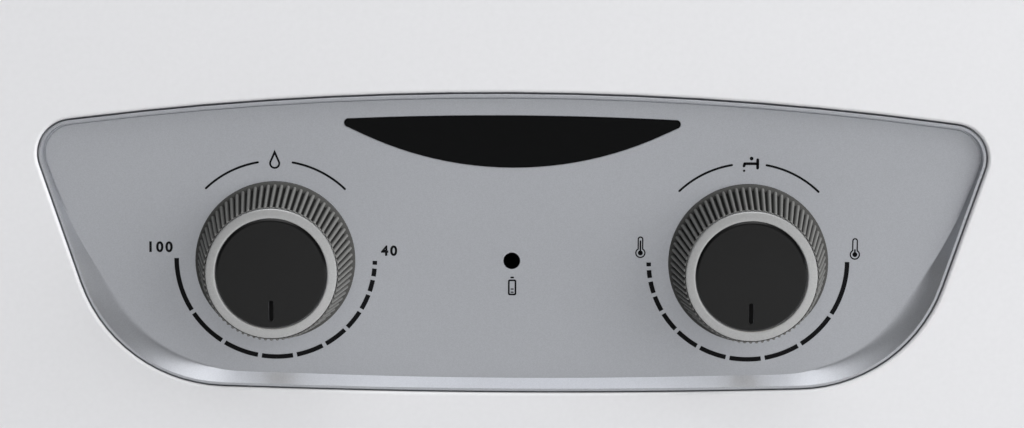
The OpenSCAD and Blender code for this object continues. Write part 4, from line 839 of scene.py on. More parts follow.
def material(slot):
    """The material of a slot, made at its first use."""
    name = "heater_" + slot
    if name in bpy.data.materials:
        return bpy.data.materials[name]
    finish = FINISHES[slot]
    colours = bpy.context.scene.heater_colours
    base = Vector(getattr(colours, SHOWN[slot]) if slot in SHOWN else COLOUR_OF[slot])
    made = bpy.data.materials.new(name)
    made.use_nodes = True
    tree = made.node_tree
    shader = tree.nodes["Principled BSDF"].inputs
    places = add_node(tree, "TexCoord").outputs["Object"]
    surface = effect(tree, finish.effect, places, finish.scale)
    patches = effect(tree, "wear", places, WEAR_SCALE)["Value"]
    colour = colour_mix(tree, surface["Value"], base * (1 - finish.tint), base * (1 + finish.tint))
    if finish.stain:
        hot = effect(tree, "heat", places, HEAT_SCALE)["Value"]
        colour = colour_mix(tree, spread(tree, hot, 0, 1, 0, finish.stain), colour, STAIN)
    dull = spread(tree, patches, 0, 1, finish.rough - finish.uneven, finish.rough + finish.uneven)
    # Painted shade in the knobs' rib grooves, the pointer's groove and the grip's foot flange, read from the
    # "groove" attribute, with rougher paint there
    if slot in GROOVED:
        groove = add_node(tree, "Attribute")
        groove.attribute_name = "groove"
        colour = colour_mix(tree, groove.outputs["Fac"], colour, base * GROOVE_SHADE)
        dull = colour_mix(tree, groove.outputs["Fac"], dull, (GROOVE_DULL, GROOVE_DULL, GROOVE_DULL))
    for label, value in (("Base Color", colour), ("Roughness", dull), ("Metallic", finish.metal),
                         ("Specular IOR Level", finish.gloss), ("Coat Weight", finish.coat),
                         ("Coat Roughness", COAT_ROUGH)):
        feed(tree, value, shader[label])
    if finish.bump:
        relief = add_node(tree, "Bump", Strength=BUMP_STRENGTH, Distance=finish.bump * MM,
                          Height=surface["Height"])
        feed(tree, relief.outputs[0], shader["Normal"])
    return made


# Shapes of the pieces

def casing(name, inset, rear):
    """A block with the casing's rounded edges, smaller by inset, back to the plane at rear."""
    half = COVER_HIGH.x - inset
    front = COVER_LOW.y + inset
    low, high = COVER_LOW.z + inset, COVER_HIGH.z - inset
    plan = rounded([(-half, front, EDGE_R - inset), (half, front, EDGE_R - inset),
                    (half, rear, 0), (-half, rear, 0)], steps=18)
    side = rounded([(front, low, END_R - inset), (rear + PAST, low, 0),
                    (rear + PAST, high, 0), (front, high, END_R - inset)], steps=12)
    block = loft(name, upright(plan, low - PAST, high + PAST))
    combine(block, loft("casing_side", sideways(side, -half - PAST, half + PAST)), "INTERSECT")
    return block


def crossing(points, x, side):
    """Height at which an outline crosses the upright line at x, above or below the dial line."""
    for i, point in enumerate(points):
        last = points[i - 1]
        if (last.x - x) * (point.x - x) <= 0 and side * (last.y + point.y) > 0 and last.x != point.x:
            return last.y + (point.y - last.y) * (x - last.x) / (point.x - last.x)
    raise ValueError("the outline doesn't cross that line")


def stud_places():
    """Places of the panel's studs from the middle of the dial line."""
    outline = rounded(PANEL_CORNERS)
    return [(x, crossing(outline, x, side) + side * (PANEL_FLANGE / 2 + PANEL_GAP)) for x, side in STUD_XS]


# Floor and lights, in metres, with the lights placed from the middle of the panel
FLOOR_Z = -0.66
FLOOR_SIZE = 8
FLOOR_SHADES = ((0.66, 0.66, 0.66), (0.69, 0.69, 0.685))
FLOOR_ROUGH = 0.8
KEY_PLACE = (2.6, -1.75, 1.15)
KEY_SIZE = 3.6
TOP_PLACE = (0.1, -0.45, 1.5)
TOP_SIZE = 1.2

# Brightness of the surroundings by the height that one looks up or down, from -1 to 1
SKY_BANDS = ((-1, 0.1), (-0.4, 0.15), (-0.1, 0.91), (0.06, 0.83), (0.26, 0.05), (0.55, 0.15), (0.8, 1.6))

# Share of that brightness by how far to the left or right one looks, from -1 to 1
SKY_SIDES = ((-1, 0.03), (-0.5, 0.2), (-0.15, 0.62), (0.15, 0.62), (0.5, 0.1), (0.75, 0.12), (1, 0.4))
SKY_TINT = (0.98, 0.99, 1.0)


class HEATER_OT_stage(bpy.types.Operator):
    """Floor, soft studio light and the camera at the photograph's viewing angle"""
    bl_idname = "heater.stage"
    bl_label = "Stage"

    def execute(self, context):
        stage = context.scene.heater_stage
        middle = Vector((0, FLOOR_Y, DIAL_Z)) * MM
        self.floor()
        key = self.light("key", middle, KEY_PLACE, KEY_SIZE, stage.key_power)
        key.visible_glossy = False
        self.light("top", middle, TOP_PLACE, TOP_SIZE, stage.top_power)
        place = middle + Vector(stage.camera_place)
        sight = (middle + Vector(stage.camera_aim) - place).to_track_quat("-Z", "Y")
        turn = sight @ Quaternion((0, 0, 1), stage.camera_roll)
        bpy.ops.object.camera_add(location=place, rotation=turn.to_euler())
        camera = context.object
        camera.data.lens = stage.lens
        context.scene.camera = camera
        context.scene.view_settings.view_transform = "Standard"
        self.sky(context.scene, stage)
        return {"FINISHED"}

    def floor(self):
        """Plain pale floor under the heater."""
        deselect()
        bpy.ops.mesh.primitive_plane_add(size=FLOOR_SIZE, location=(0, 0, FLOOR_Z))
        floor = bpy.context.object
        floor.name = "floor"
        paint = bpy.data.materials.new("heater_floor")
        paint.use_nodes = True
        tree = paint.node_tree
        shader = tree.nodes["Principled BSDF"].inputs
        patches = effect(tree, "wear", add_node(tree, "TexCoord").outputs["Object"], WEAR_SCALE)
        feed(tree, colour_mix(tree, patches["Value"], *FLOOR_SHADES), shader["Base Color"])
        shader["Roughness"].default_value = FLOOR_ROUGH
        floor.data.materials.append(paint)

    def light(self, name, middle, place, size, power):
        """Round soft light that shines on the middle of the panel."""
        aim = (-Vector(place)).to_track_quat("-Z", "Y").to_euler()
        bpy.ops.object.light_add(type="AREA", location=middle + Vector(place), rotation=aim)
        light = bpy.context.object
        light.name = name
        light.data.shape = "DISK"
        light.data.size = size
        light.data.energy = power
        return light

    def sky(self, scene, stage):
        """Surroundings with a bright ceiling, a light front and dim bands and sides between them."""
        world = bpy.data.worlds.new("studio")
        world.use_nodes = True
        tree = world.node_tree
        shine = tree.nodes["Background"].inputs
        parts = add_node(tree, "SeparateXYZ", Vector=add_node(tree, "TexCoord").outputs["Generated"])
        sides = self.ramp(tree, parts.outputs[0], SKY_SIDES)
        feed(tree, self.ramp(tree, parts.outputs[2], SKY_BANDS), shine["Color"])
        feed(tree, spread(tree, sides, 0, 1, 0, stage.sky_level), shine["Strength"])
        scene.world = world

    def ramp(self, tree, value, stops):
        """Brightness along one direction of the surroundings, from stops of place and level."""
        made = add_node(tree, "ValToRGB")
        while len(made.color_ramp.elements) < len(stops):
            made.color_ramp.elements.new(1.0)
        for element, (place, level) in zip(made.color_ramp.elements, stops):
            element.position = (place + 1) / 2
            element.color = (*[level * tint for tint in SKY_TINT], 1.0)
        feed(tree, spread(tree, value, -1, 1, 0, 1), made.inputs[0])
        return made.outputs[0]


class HEATER_OT_front_cover(bpy.types.Operator):
    """White sheet cover with a rounded lip round the panel"""
    bl_idname = "heater.front_cover"
    bl_label = "Front cover"

    def execute(self, context):
        lip = context.scene.heater_sizes.lip_round / MM
        front = COVER_LOW.y
        cover = casing("cover_shell", inset=0, rear=COVER_HIGH.y)
        combine(cover, casing("cover_room", inset=SHEET, rear=2))
        outline = rounded(PANEL_CORNERS)
        edge = [(-PAST, PANEL_GAP + lip)]
        edge += [(lip * (1 - c), PANEL_GAP + lip * (1 - s)) for c, s in turns(steps=8)]
        edge += [(PAST_WALL, PANEL_GAP)]
        loops = [[(p.x, front + depth, DIAL_Z + p.y) for p in grown(outline, out)] for depth, out in edge]
        combine(cover, loft("panel_opening", loops))
        reach = COLLAR_Y - SLOT_HALF
        slot = rounded([(-SLOT_HALF, reach, SLOT_R), (SLOT_HALF, reach, SLOT_R),
                        (SLOT_HALF, PAST_WALL, 0), (-SLOT_HALF, PAST_WALL, 0)])
        top = COVER_HIGH.z
        combine(cover, loft("collar_slot", upright(slot, top - PAST_TOP, top + PAST_TOP)))
        self.open_bottom(cover)
        self.notches(cover)
        studs = [lathe("stud", STUD_PROFILE, (x, front + SHEET, DIAL_Z + z), "Y", steps=20)
                 for x, z in stud_places()]
        cover = join("cover_shell", [cover] + studs)
        dress(cover, "cover_white", "cover", "front_cover", flat=True)
        return {"FINISHED"}

    def open_bottom(self, cover):
        """Opens the bottom behind the front strip."""
        radius = EDGE_R - SHEET
        centre_x, centre_y = COVER_HIGH.x - EDGE_R, COVER_LOW.y + EDGE_R
        strip = COVER_LOW.y + BOTTOM_RETURN
        first = math.asin((centre_y - strip) / radius)
        arc = [(centre_x + radius * c, centre_y - radius * s) for c, s in turns(6, first)]
        points = [(-x, y) for x, y in arc] + arc[::-1]
        points += [(COVER_HIGH.x - SHEET, PAST_WALL), (SHEET - COVER_HIGH.x, PAST_WALL)]
        low = COVER_LOW.z
        combine(cover, loft("bottom_opening", upright(points, low - PAST_BOTTOM, low + END_R - SHEET)))

    def notches(self, cover):
        """Cuts the notches for the cover's screws."""
        tools = []
        wide = COVER_HIGH.x + PAST_SIDE
        front, rear = NOTCH_SPAN
        for z in (COVER_LOW.z + NOTCH_UP, COVER_HIGH.z - NOTCH_UP):
            tools.append(loft("notch", sideways(stadium(front, z, rear, z, NOTCH_R), -wide, wide)))
        combine(cover, join("notches", tools))


class HEATER_OT_control_panel(bpy.types.Operator):
    """Dished silver panel with a rounded rim"""
    bl_idname = "heater.control_panel"
    bl_label = "Control panel"

    def execute(self, context):
        edge = context.scene.heater_sizes.rim_round / MM
        outline = dense(rounded(PANEL_CORNERS), OUTLINE_STEP)
        flange = grown(outline, PANEL_FLANGE)
        groove = grown(outline, GROOVE_W)
        loops = [on_panel(flange, -PANEL_WALL), on_panel(flange, FLANGE_TOP), on_panel(groove, FLANGE_TOP),
                 on_panel(groove, GROOVE_FLOOR), on_panel(outline, GROOVE_FLOOR)]
        for c, s in turns(steps=5):
            loops.append(on_panel(grown(outline, -edge * (1 - c)), DISH_DEPTH - edge * (1 - s)))
        rim = grown(outline, -RIM_W)
        widths = widths_to(rim, rounded(DISH_CORNERS))
        dish = [a.lerp(b, width) for a, b, width in zip(rim, grown(rim, -1), widths)]
        curves = [1 + DISH_CURVE * max(0, width - DISH_STEEP) for width in widths]
        for k in range(DISH_STEPS + 1):
            t = k / DISH_STEPS
            loops.append([(a.lerp(b, t).x, FLOOR_Y - DISH_DEPTH * (1 - t) ** curve, DIAL_Z + a.lerp(b, t).y)
                          for a, b, curve in zip(rim, dish, curves)])
        feet = [FOOT_DEEP * min(1, max(0, 2 - 2 * width)) for width in widths]
        for inset, share in ((0, 1), (FOOT_W, 1), (1.3 * FOOT_W, 0)):
            loops.append([(p.x, FLOOR_Y + share * deep, DIAL_Z + p.y)
                          for p, deep in zip(grown(dish, -inset), feet)])
        panel = loft("panel_face", loops)
        tools = [prism("bush_hole", circle(x, 0, BUSH_HOLE_R, 48), -PAST_WALL, 1.5) for x in (GAS_X, WATER_X)]
        tools.append(lathe("lamp_hole", LAMP_HOLE, (0, FLOOR_Y, DIAL_Z), "Y", steps=48))
        pocket = grown(rounded(BADGE_CORNERS, BADGE_STEPS), BADGE_GAP)
        tools.append(prism("badge_pocket", pocket, -BADGE_POCKET, 6))
        tools += [prism("stud_hole", circle(x, z, STUD_HOLE_R, 20), -PAST_WALL, PAST_WALL)
                  for x, z in stud_places()]
        combine(panel, join("panel_holes", tools))
        dress(panel, "panel_silver", "cover", "control_panel", flat=True)
        return {"FINISHED"}


class HEATER_OT_dial_print(bpy.types.Operator):
    """Printed dashes, pictograms and plain numbers of the two dials"""
    bl_idname = "heater.dial_print"
    bl_label = "Dial print"

    def execute(self, context):
        self.height = context.scene.heater_sizes.ink_height / MM
        for name, marks in (("gas_dial_print", self.gas_marks()), ("water_dial_print", self.water_marks()),
                            ("battery_mark", self.battery_marks())):
            dress(join(name, marks), "ink", "cover")
        return {"FINISHED"}

    def fill(self, points):
        """A filled mark."""
        return prism("mark", points, INK_SUNK, self.height)

    def line(self, outer, inner):
        """A mark along an outline, given by its outer and inner edge."""
        loops = [on_panel(outer, INK_SUNK), on_panel(outer, self.height),
                 on_panel(inner, self.height), on_panel(inner, INK_SUNK)]
        return loft("mark", loops, ring=True)

    def arc(self, x, radius, width, start, end):
        """A mark along part of a circle round a dial, with angles in degrees."""
        steps = max(2, int(abs(end - start) / ARC_STEP))
        near, far = radius - width / 2, radius + width / 2
        edge = ((near, INK_SUNK), (far, INK_SUNK), (far, self.height), (near, self.height))
        loops = [[(x + r * c, FLOOR_Y - h, DIAL_Z + r * s) for r, h in edge]
                 for c, s in turns(steps, math.radians(end - start), math.radians(start))]
        return loft("mark", loops)

    def scale_marks(self, x, mirrored):
        """The dashes that grow round a dial and the two thin arcs over it."""
        spans = []
        start = DASH_START
        for length in [DASH_STEP * (i + 1) for i in range(DASH_COUNT)] + [DASH_LAST]:
            spans.append((start, start - length))
            start -= length + DASH_GAP
        if mirrored:
            spans = [(180 - a, 180 - b) for a, b in spans]
        marks = [self.arc(x, DIAL_R, DASH_W, a, b) for a, b in spans]
        for span in THIN_SPANS:
            marks.append(self.arc(x, THIN_R, THIN_W, *span))
            for end in map(math.radians, span):
                spot = (THIN_R * math.cos(end) + x, THIN_R * math.sin(end))
                marks.append(self.fill(circle(*spot, THIN_W / 2, 12)))
        return marks

    def number(self, text, x, z, height):
        """A plain number centred on a place of the panel."""
        deselect()
        bpy.ops.object.text_add(rotation=(math.pi / 2, 0, 0))
        sign = bpy.context.object
        sign.data.body = text
        sign.data.size = height / DIGIT_SHARE * MM
        sign.data.offset = DIGIT_BOLD * MM
        sign.data.space_character = DIGIT_SPACE
        sign.data.align_x = "CENTER"
        sign.data.align_y = "CENTER"
        sign.data.extrude = self.height / 2 * MM
        sign.location = Vector((x, FLOOR_Y - self.height / 2, DIAL_Z + z)) * MM
        bpy.ops.object.convert(target="MESH")
        bpy.ops.object.transform_apply(location=True, rotation=True, scale=True)
        return bpy.context.object

    def gas_marks(self):
        """Marks of the left dial: a drop over it and a number at each end of its scale."""
        marks = self.scale_marks(GAS_X, False)
        edges = []
        for radius, tip in DROP_EDGES:
            slant = math.asin(radius / (tip - DROP_Z))
            bowl = turns(20, -math.pi - 2 * slant, slant)
            edges.append([(DROP_X + radius * c, DROP_Z + radius * s) for c, s in bowl] + [(DROP_X, tip)])
        marks.append(self.line(*edges))
        return marks + [self.number(*number) for number in GAS_NUMBERS]

    def thermometer(self, x, bulb, top, level):
        """A thermometer with its bulb and the top of its tube at two heights."""
        edges = []
        for inset in (0, GLASS_W):
            radius, half = BULB_R - inset, TUBE_HALF - inset
            gap = math.asin(half / radius)
            bowl = turns(24, 2 * math.pi - 2 * gap, math.pi / 2 + gap)
            points = [(x + radius * c, bulb + radius * s) for c, s in bowl]
            points += [(x + half * c, top - TUBE_HALF + half * s) for c, s in turns(8, math.pi)]
            edges.append(points)
        return [self.line(*edges), self.fill(circle(x, bulb, FILLED_R, 20)),
                self.fill(stadium(x, bulb, x, level, FILLED_HALF))]

    def water_marks(self):
        """Marks of the right dial: a tap over it and a thermometer at each end of its scale."""
        marks = self.scale_marks(WATER_X, True)
        for x, z, radius, steps in TAP_DOTS:
            marks.append(self.fill(circle(WATER_X + x, z, radius, steps)))
        for x0, z0, x1, z1, half in TAP_STROKES:
            marks.append(self.fill(stadium(WATER_X + x0, z0, WATER_X + x1, z1, half)))
        for place in THERMOMETERS:
            marks += self.thermometer(*place)
        return marks

    def battery_marks(self):
        """The battery sign under the lamp."""
        edges = []
        for half, low, high, radius in SIGN_EDGES:
            edges.append(rounded([(SIGN_X - half, low, radius), (SIGN_X + half, low, radius),
                                  (SIGN_X + half, high, radius), (SIGN_X - half, high, radius)], steps=5))
        marks = [self.line(*edges)]
        for half, z, radius in SIGN_BARS:
            marks.append(self.fill(stadium(SIGN_X - half, z, SIGN_X + half, z, radius)))
        return marks


class HEATER_OT_badge(bpy.types.Operator):
    """Bare black badge plate with rounded edges"""
    bl_idname = "heater.badge"
    bl_label = "Badge"

    def execute(self, context):
        outline = rounded(BADGE_CORNERS, BADGE_STEPS)
        face = BADGE_T - BADGE_POCKET
        loops = [on_panel(outline, -BADGE_POCKET)]
        for c, s in turns(steps=4):
            loops.append(on_panel(grown(outline, -BADGE_EDGE * (1 - c)), face - BADGE_EDGE * (1 - s)))
        dress(loft("badge_face", loops), "badge_black", "cover", "badge_plate", flat=True)
        return {"FINISHED"}


class HEATER_OT_lamp(bpy.types.Operator):
    """Small domed indicator lamp behind its hole"""
    bl_idname = "heater.lamp"
    bl_label = "Lamp"

    def execute(self, context):
        dome = [(LAMP_R * c, LAMP_FRONT - LAMP_R + LAMP_R * s) for c, s in turns(steps=8)]
        lamp = lathe("lamp_lens", LAMP_REAR + dome, (0, FLOOR_Y, DIAL_Z), "Y", steps=32)
        dress(lamp, "lamp_red", "cover", "battery_lamp")
        return {"FINISHED"}


class HEATER_OT_knobs(bpy.types.Operator):
    """Two knobs, each a ribbed grip with a ring and a disc in its front"""
    bl_idname = "heater.knobs"
    bl_label = "Knobs"

    def execute(self, context):
        sizes = context.scene.heater_sizes
        shift = (WATER_X - GAS_X, 0, 0)
        for name, slot, angle, piece in (("grip", "knob_grey", 50, self.grip(sizes)),
                                         ("ring", "knob_silver", 35, self.ring()),
                                         ("disc", "knob_black", 35, self.disc())):
            other = copy_at(piece, "water_knob_" + name + "_face", shift)
            for body, face in (("gas_knob", piece), ("water_knob", other)):
                dress(face, slot, body, body + "_" + name, angle=angle)
                face.visible_glossy = False
        return {"FINISHED"}

    def grip(self, sizes):
        """The ribbed body on its rim, with the hub that turns in the bush."""
        depth = sizes.rib_depth / MM
        places = len(RIB_SHAPE)
        loops = []
        for height, radius, share in GRIP_STATIONS:
            points = []
            for rib in range(sizes.rib_count):
                for k, rise in enumerate(RIB_SHAPE):
                    a = 2 * math.pi * (rib + (k - places // 2) / places) / sizes.rib_count
                    r = radius - depth * share * (1 - rise)
                    points.append((GAS_X + r * math.cos(a), r * math.sin(a)))
            loops.append(on_panel(points, height))
        ribs = loft("knob_ribs", loops)
        # Painted shade in the grooves between the ribs
        self.mark_grooves(ribs, depth)
        hub = lathe("knob_base", HUB_PROFILE, (GAS_X, FLOOR_Y, DIAL_Z), "Y", steps=96)
        # Painted shade over the hub and its foot flange next to the panel, at FLANGE_SHADE of the grooves' painted
        # shade
        for mark in hub.data.attributes.new("groove", "FLOAT", "POINT").data:
            mark.value = FLANGE_SHADE
        bore = [Vector((GAS_X + HUB_BORE * c, min(HUB_BORE * s, HUB_FLAT)))
                for c, s in turns(32, 2 * math.pi, math.pi / 2)]
        flat = [p for i, p in enumerate(bore[:-1]) if i == 0 or (p - bore[i - 1]).length > 0.01]
        combine(hub, prism("d_bore", flat, *HUB_BORE_ENDS))
        return join("gas_knob_grip_face", [ribs, hub])

    def mark_grooves(self, ribs, depth):
        """Stores how far each place lies in a groove, from 0 to 1, for the material's painted shade in the
        grooves.
        """
        marks = ribs.data.attributes.new("groove", "FLOAT", "POINT")
        for mark, vert in zip(marks.data, ribs.data.vertices):
            height = FLOOR_Y - vert.co.y / MM
            radius = min(GRIP_STATIONS, key=lambda station: abs(station[0] - height))[1]
            out = math.hypot(vert.co.x / MM - GAS_X, vert.co.z / MM - DIAL_Z)
            mark.value = min(1, max(0, (radius - out) / depth))

    def ring(self):
        """The ring on the grip's front."""
        return lathe("gas_knob_ring_face", RING_PROFILE, (GAS_X, FLOOR_Y, DIAL_Z), "Y", steps=128)

    def disc(self):
        """The disc in the ring, with the pointer's groove at its lower edge."""
        profile = [(0, DISC_BACK), (DISC_R, DISC_BACK)]
        profile += [(DISC_R - DISC_EDGE * (1 - c), DISC_FRONT - DISC_EDGE * (1 - s))
                    for c, s in turns(steps=8)]
        profile.append((0, DISC_FRONT))
        disc = lathe("gas_knob_disc_face", profile, (GAS_X, FLOOR_Y, DIAL_Z), "Y", steps=128)
        low, high = POINTER_ENDS
        loops = [on_panel(stadium(GAS_X, low, GAS_X, high, half), height) for height, half in POINTER_HALVES]
        combine(disc, loft("pointer", loops))
        # Painted shade on the floor of the pointer's groove
        marks = disc.data.attributes.new("groove", "FLOAT", "POINT")
        for mark, vert in zip(marks.data, disc.data.vertices):
            mark.value = abs(FLOOR_Y - vert.co.y / MM - POINTER_FLOOR) < 0.05
        return disc


class HEATER_OT_flue_collar(bpy.types.Operator):
    """Flue collar with a rolled edge and a bead round it"""
    bl_idname = "heater.flue_collar"
    bl_label = "Flue collar"

    def execute(self, context):
        low, high = node_box("flue_collar")
        outer = high.x - COLLAR_FLANGE
        inner = outer - SHEET
        bead_z = high.z - COLLAR_BEAD_DOWN
        bead = [(COLLAR_BEAD * s ** 2, bead_z + COLLAR_BEAD * BEAD_LONG * (k / BEAD_STEPS - 0.5))
                for k, (c, s) in enumerate(turns(BEAD_STEPS, math.pi))]
        middle = (outer + inner) / 2
        profile = [(inner, low.z), (high.x - 0.2, low.z), (high.x, low.z + 0.2), (high.x, low.z + 0.8),
                   (high.x - 0.2, low.z + SHEET), (outer + 1.2, low.z + SHEET), (outer + 0.35, low.z + 1.35),
                   (outer, low.z + 2.2)]
        profile += [(outer + out, z) for out, z in bead]
        profile += [(outer, high.z - 1.2)]
        profile += [(middle + ROLL_R * c, high.z - ROLL_R + ROLL_R * s) for c, s in turns(8, math.pi)]
        profile += [(inner, high.z - 1.2)]
        profile += [(inner + out, z) for out, z in reversed(bead)]
        collar = lathe("collar_wall", profile, (0, COLLAR_Y, 0), steps=96)
        dress(collar, "hood_steel", "chassis", "flue_collar", angle=50)
        return {"FINISHED"}


class HEATER_OT_pipes(bpy.types.Operator):
    """Round copper pipes, the exchanger's coil and fin tube, and the two ignition leads"""
    bl_idname = "heater.pipes"
    bl_label = "Pipes and leads"

    def execute(self, context):
        for name, route in PIPE_ROUTES.items():
            pieces = [tube(name + "_run", route, PIPE_R, FIN_BEND if name == "fin_tube" else PIPE_BEND)]
            if name == "fin_tube":
                pieces.append(self.elbow(route[0]))
            dress(join(name + "_run", pieces), "copper", "chassis", name, angle=40)
        for name, slot, route in (("ignition_lead", "lead_red", IGNITION_ROUTE),
                                  ("sensor_lead", "lead_white", SENSOR_ROUTE)):
            dress(tube(name + "_run", route, LEAD_R, LEAD_BEND), slot, "chassis", name, angle=40)
        return {"FINISHED"}

    def elbow(self, joint):
        """The block that joins the fin tube to the top of the coil."""
        x, y, z = joint
        deselect()
        size = Vector((ELBOW_LEN, 2 * ELBOW_HALF, 2 * ELBOW_HALF)) * MM
        bpy.ops.mesh.primitive_cube_add(size=1, location=Vector((x - ELBOW_LEN / 2, y, z)) * MM, scale=size)
        bpy.ops.object.transform_apply(location=True, rotation=True, scale=True)
        bpy.ops.object.mode_set(mode="EDIT")
        bpy.ops.mesh.bevel(offset=ELBOW_EDGE * MM, segments=4, affect="EDGES")
        bpy.ops.object.mode_set(mode="OBJECT")
        return bpy.context.object


class HEATER_OT_connections(bpy.types.Operator):
    """Threaded pipe ends with their collars, and the union nuts"""
    bl_idname = "heater.connections"
    bl_label = "Connections"

    def execute(self, context):
        pitch = context.scene.heater_sizes.thread_pitch / MM
        low, high = node_box("pipe_stubs")
        stub = join("stub", [self.core(low.z, high.z), self.thread(low.z, pitch), self.collar()])
        stubs = copies(stub, [(x, VALVE_Y, 0) for x in STUB_XS])
        dress(join("pipe_ends", stubs), "brass", "chassis", "pipe_stubs", angle=30)
        nuts = []
        for radius, bore, places in ((NUT_R, NECK_R + 0.1, [(x, NUT_Z) for x in STUB_XS]),
                                     (SMALL_NUT_R, PIPE_R + 0.3, SMALL_NUT_PLACES)):
            nuts += copies(self.hexagon(radius, 0, NUT_H, bore), [(x, VALVE_Y, z) for x, z in places])
        dress(join("union_nut_set", nuts), "brass", "chassis", "union_nuts", angle=30)
        return {"FINISHED"}

    def core(self, low, high):
        """Turned and bored body of a stub under its thread."""
        root = THREAD_R - THREAD_DEEP
        profile = [(STUB_BORE, low + 0.4), (STUB_BORE + 0.4, low), (root - 0.6, low), (root, low + 0.8),
                   (root, THREAD_TOP), (NECK_R - 0.5, THREAD_TOP + 0.5), (NECK_R, THREAD_TOP + 1.0),
                   (NECK_R, COLLAR_LOW), (STUB_R, COLLAR_LOW + 0.01), (STUB_R, high - 0.6),
                   (STUB_R - 0.6, high), (STUB_BORE, high)]
        return lathe("stub_core", profile, (0, 0, 0))

    def collar(self):
        """Hexagon of a stub under the pipe bracket."""
        return self.hexagon(NUT_R, COLLAR_LOW, COLLAR_TOP, STUB_R - 2)

    def thread(self, low, pitch):
        """One ridge that winds up round the stub."""
        root = THREAD_R - THREAD_DEEP - 0.05
        ridge = [(root, 0, -0.49 * pitch), (root, 0, 0.49 * pitch), (THREAD_R - 0.12, 0, 0.09 * pitch),
                 (THREAD_R, 0, 0.0), (THREAD_R - 0.12, 0, -0.09 * pitch)]
        piece = start_wire("thread", [(x, y, z + low + pitch) for x, y, z in ridge])
        rounds = int((THREAD_TOP - low - pitch) / pitch)
        modify(piece, "SCREW", screw_offset=pitch * MM, iterations=rounds, steps=THREAD_STEPS,
               render_steps=THREAD_STEPS, use_smooth_shade=False)
        bpy.ops.object.mode_set(mode="EDIT")
        bpy.ops.mesh.select_all(action="SELECT")
        bpy.ops.mesh.fill_holes(sides=0)
        clean()
        return piece

    def hexagon(self, radius, low, high, bore):
        """A hexagon with chamfered corners and a bore."""
        piece = loft("hexagon", upright(circle(0, 0, radius, 6), low, high))
        cut = radius * (1 - math.cos(math.pi / 6))
        drop = cut * math.tan(math.radians(30))
        face = radius * math.cos(math.pi / 6) - 0.2
        profile = [(0, low), (face, low), (radius + 0.1, low + drop + 0.2), (radius + 0.1, high - drop - 0.2),
                   (face, high), (0, high)]
        combine(piece, lathe("hexagon_ends", profile, (0, 0, 0), steps=96), "INTERSECT")
        hole = [(0, low - 1), (bore + 1, low - 1), (bore + 1, low), (bore, low + 0.6), (bore, high - 0.6),
                (bore + 1, high), (bore + 1, high + 1), (0, high + 1)]
        combine(piece, lathe("hexagon_bore", hole, (0, 0, 0)))
        return piece


class HEATER_OT_screws(bpy.types.Operator):
    """Cross-head screws of the cover and of the brackets"""
    bl_idname = "heater.screws"
    bl_label = "Screws"

    def execute(self, context):
        low, high = node_box("cover_screws")
        screw = self.screw(COVER_SCREW_LEN)
        rows = (low.z + HEAD_R, high.z - HEAD_R)
        depth = (low.y + high.y) / 2
        pieces = []
        for side in (-1, 1):
            turned = copy_at(screw, "screw", (0, 0, 0))
            for vert in turned.data.vertices:
                x, y, z = vert.co
                vert.co = (-side * y, side * x, z)
            head = high.x - HEAD_H
            pieces += copies(turned, [(side * head, depth, z) for z in rows])
        dress(join("cover_screw_set", pieces), "screw_steel", "chassis", "cover_screws", angle=30)
        bpy.data.objects.remove(screw)
        low, high = node_box("bracket_screws")
        screw = self.screw(high.y - low.y - HEAD_H)
        pieces = copies(screw, [(x, low.y + HEAD_H, z) for x, z in BRACKET_SCREW_SPOTS])
        dress(join("bracket_screw_set", pieces), "screw_steel", "chassis", "bracket_screws", angle=30)
        return {"FINISHED"}

    def screw(self, length):
        """A screw whose head looks to the front, with its seat at the origin."""
        profile = [(0, -length), (SCREW_R - 0.3, -length), (SCREW_R, -length + 0.4), (SCREW_R, 0),
                   (HEAD_R, 0)]
        profile += [(HEAD_R * c, DOME_LOW + (HEAD_H - DOME_LOW) * s) for c, s in turns(steps=6)]
        piece = lathe("screw", profile, (0, 0, 0), "Y", steps=40)
        for turn in (0, math.pi / 2):
            c, s = CROSS_REACH * math.cos(turn), CROSS_REACH * math.sin(turn)
            slot = stadium(-c, -s, c, s, CROSS_HALF, steps=3)
            loops = [[(p.x, -y, p.y) for p in slot] for y in (CROSS_FLOOR, HEAD_H + 1)]
            combine(piece, loft("slot", loops))
        return piece


class HEATER_OT_castings(bpy.types.Operator):
    """Valve bodies, the diaphragm's cover and the gas manifold with cast edges"""
    bl_idname = "heater.castings"
    bl_label = "Castings"

    def execute(self, context):
        for node, width in CAST_EDGES.items():
            soften(node, width)
        return {"FINISHED"}


class HEATER_OT_housings(bpy.types.Operator):
    """Moulded housings of the ignition, the switch, the solenoid and the battery"""
    bl_idname = "heater.housings"
    bl_label = "Housings"

    def execute(self, context):
        for node, width in HOUSING_EDGES.items():
            soften(node, width)
        return {"FINISHED"}


class HEATER_OT_sheet_pieces(bpy.types.Operator):
    """Folded sheets: back plate, brackets, hood, chamber and burner tray"""
    bl_idname = "heater.sheet_pieces"
    bl_label = "Sheet pieces"

    def execute(self, context):
        for node, width in SHEET_EDGES.items():
            soften(node, width)
        return {"FINISHED"}


class HEATER_OT_springs(bpy.types.Operator):
    """Springs of the two valves, which the rod and the plunger press, as smoothed copies of the imported ones"""
    bl_idname = "heater.springs"
    bl_label = "Springs"

    def execute(self, context):
        for node, name in SPRING_JOINTS.items():
            piece = dress(node_copy(node), SLOT_OF[node], "chassis", node, angle=70)
            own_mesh(piece)
        return {"FINISHED"}


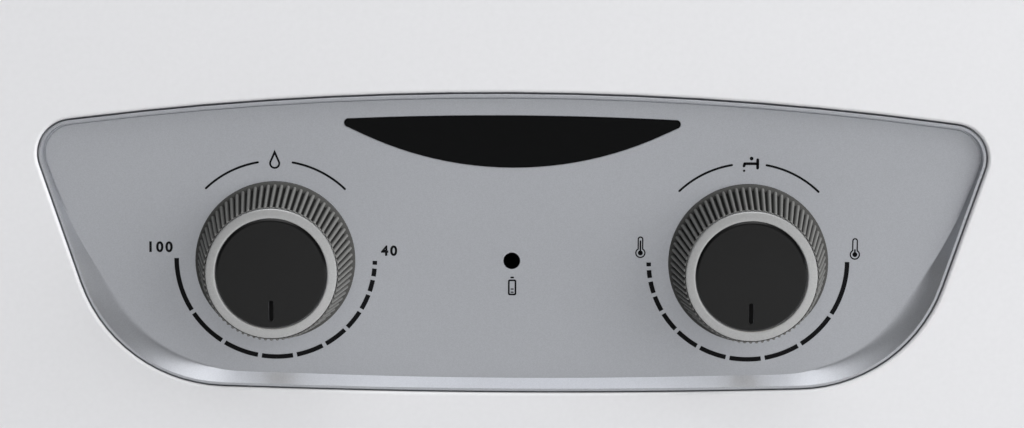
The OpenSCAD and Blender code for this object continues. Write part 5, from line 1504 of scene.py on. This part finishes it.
class HEATER_OT_packed_nodes(bpy.types.Operator):
    """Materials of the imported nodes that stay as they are"""
    bl_idname = "heater.packed_nodes"
    bl_label = "Other pieces"

    def execute(self, context):
        for node, piece in frame["nodes"].items():
            made = material(SLOT_OF[node])
            if not piece.material_slots:
                piece.data.materials.append(made)
            for slot in piece.material_slots:
                slot.material = made
        return {"FINISHED"}


OPERATORS = (
    HEATER_OT_stage, HEATER_OT_packed_nodes, HEATER_OT_front_cover, HEATER_OT_control_panel,
    HEATER_OT_dial_print, HEATER_OT_badge, HEATER_OT_lamp, HEATER_OT_knobs, HEATER_OT_flue_collar,
    HEATER_OT_pipes, HEATER_OT_connections, HEATER_OT_screws, HEATER_OT_castings, HEATER_OT_housings,
    HEATER_OT_sheet_pieces, HEATER_OT_springs,
)


class HEATER_PT_panel(bpy.types.Panel):
    """Sidebar list of the heater's sizes, colours and pieces"""
    bl_idname = "HEATER_PT_panel"
    bl_label = "Gas Water Heater"
    bl_space_type = "VIEW_3D"
    bl_region_type = "UI"
    bl_category = "Heater"

    def draw(self, context):
        for name in ("heater_sizes", "heater_colours", "heater_stage"):
            settings = getattr(context.scene, name)
            box = self.layout.box()
            for key in settings.__annotations__:
                box.prop(settings, key)
        for operator in OPERATORS:
            self.layout.operator(operator.bl_idname)


GROUP_CLASSES = (HeaterSizes, HeaterColours, HeaterStage)


def register():
    for cls in GROUP_CLASSES + OPERATORS + (HEATER_PT_panel,):
        bpy.utils.register_class(cls)
    bpy.types.Scene.heater_sizes = PointerProperty(type=HeaterSizes)
    bpy.types.Scene.heater_colours = PointerProperty(type=HeaterColours)
    bpy.types.Scene.heater_stage = PointerProperty(type=HeaterStage)


def unregister():
    del bpy.types.Scene.heater_stage
    del bpy.types.Scene.heater_colours
    del bpy.types.Scene.heater_sizes
    for cls in reversed(GROUP_CLASSES + OPERATORS + (HEATER_PT_panel,)):
        bpy.utils.unregister_class(cls)


def main():
    """Builds the scene."""
    register()
    for operator in OPERATORS:
        space, name = operator.bl_idname.split(".")
        getattr(getattr(bpy.ops, space), name)()
    deselect()


if __name__ == "__main__":
    main()
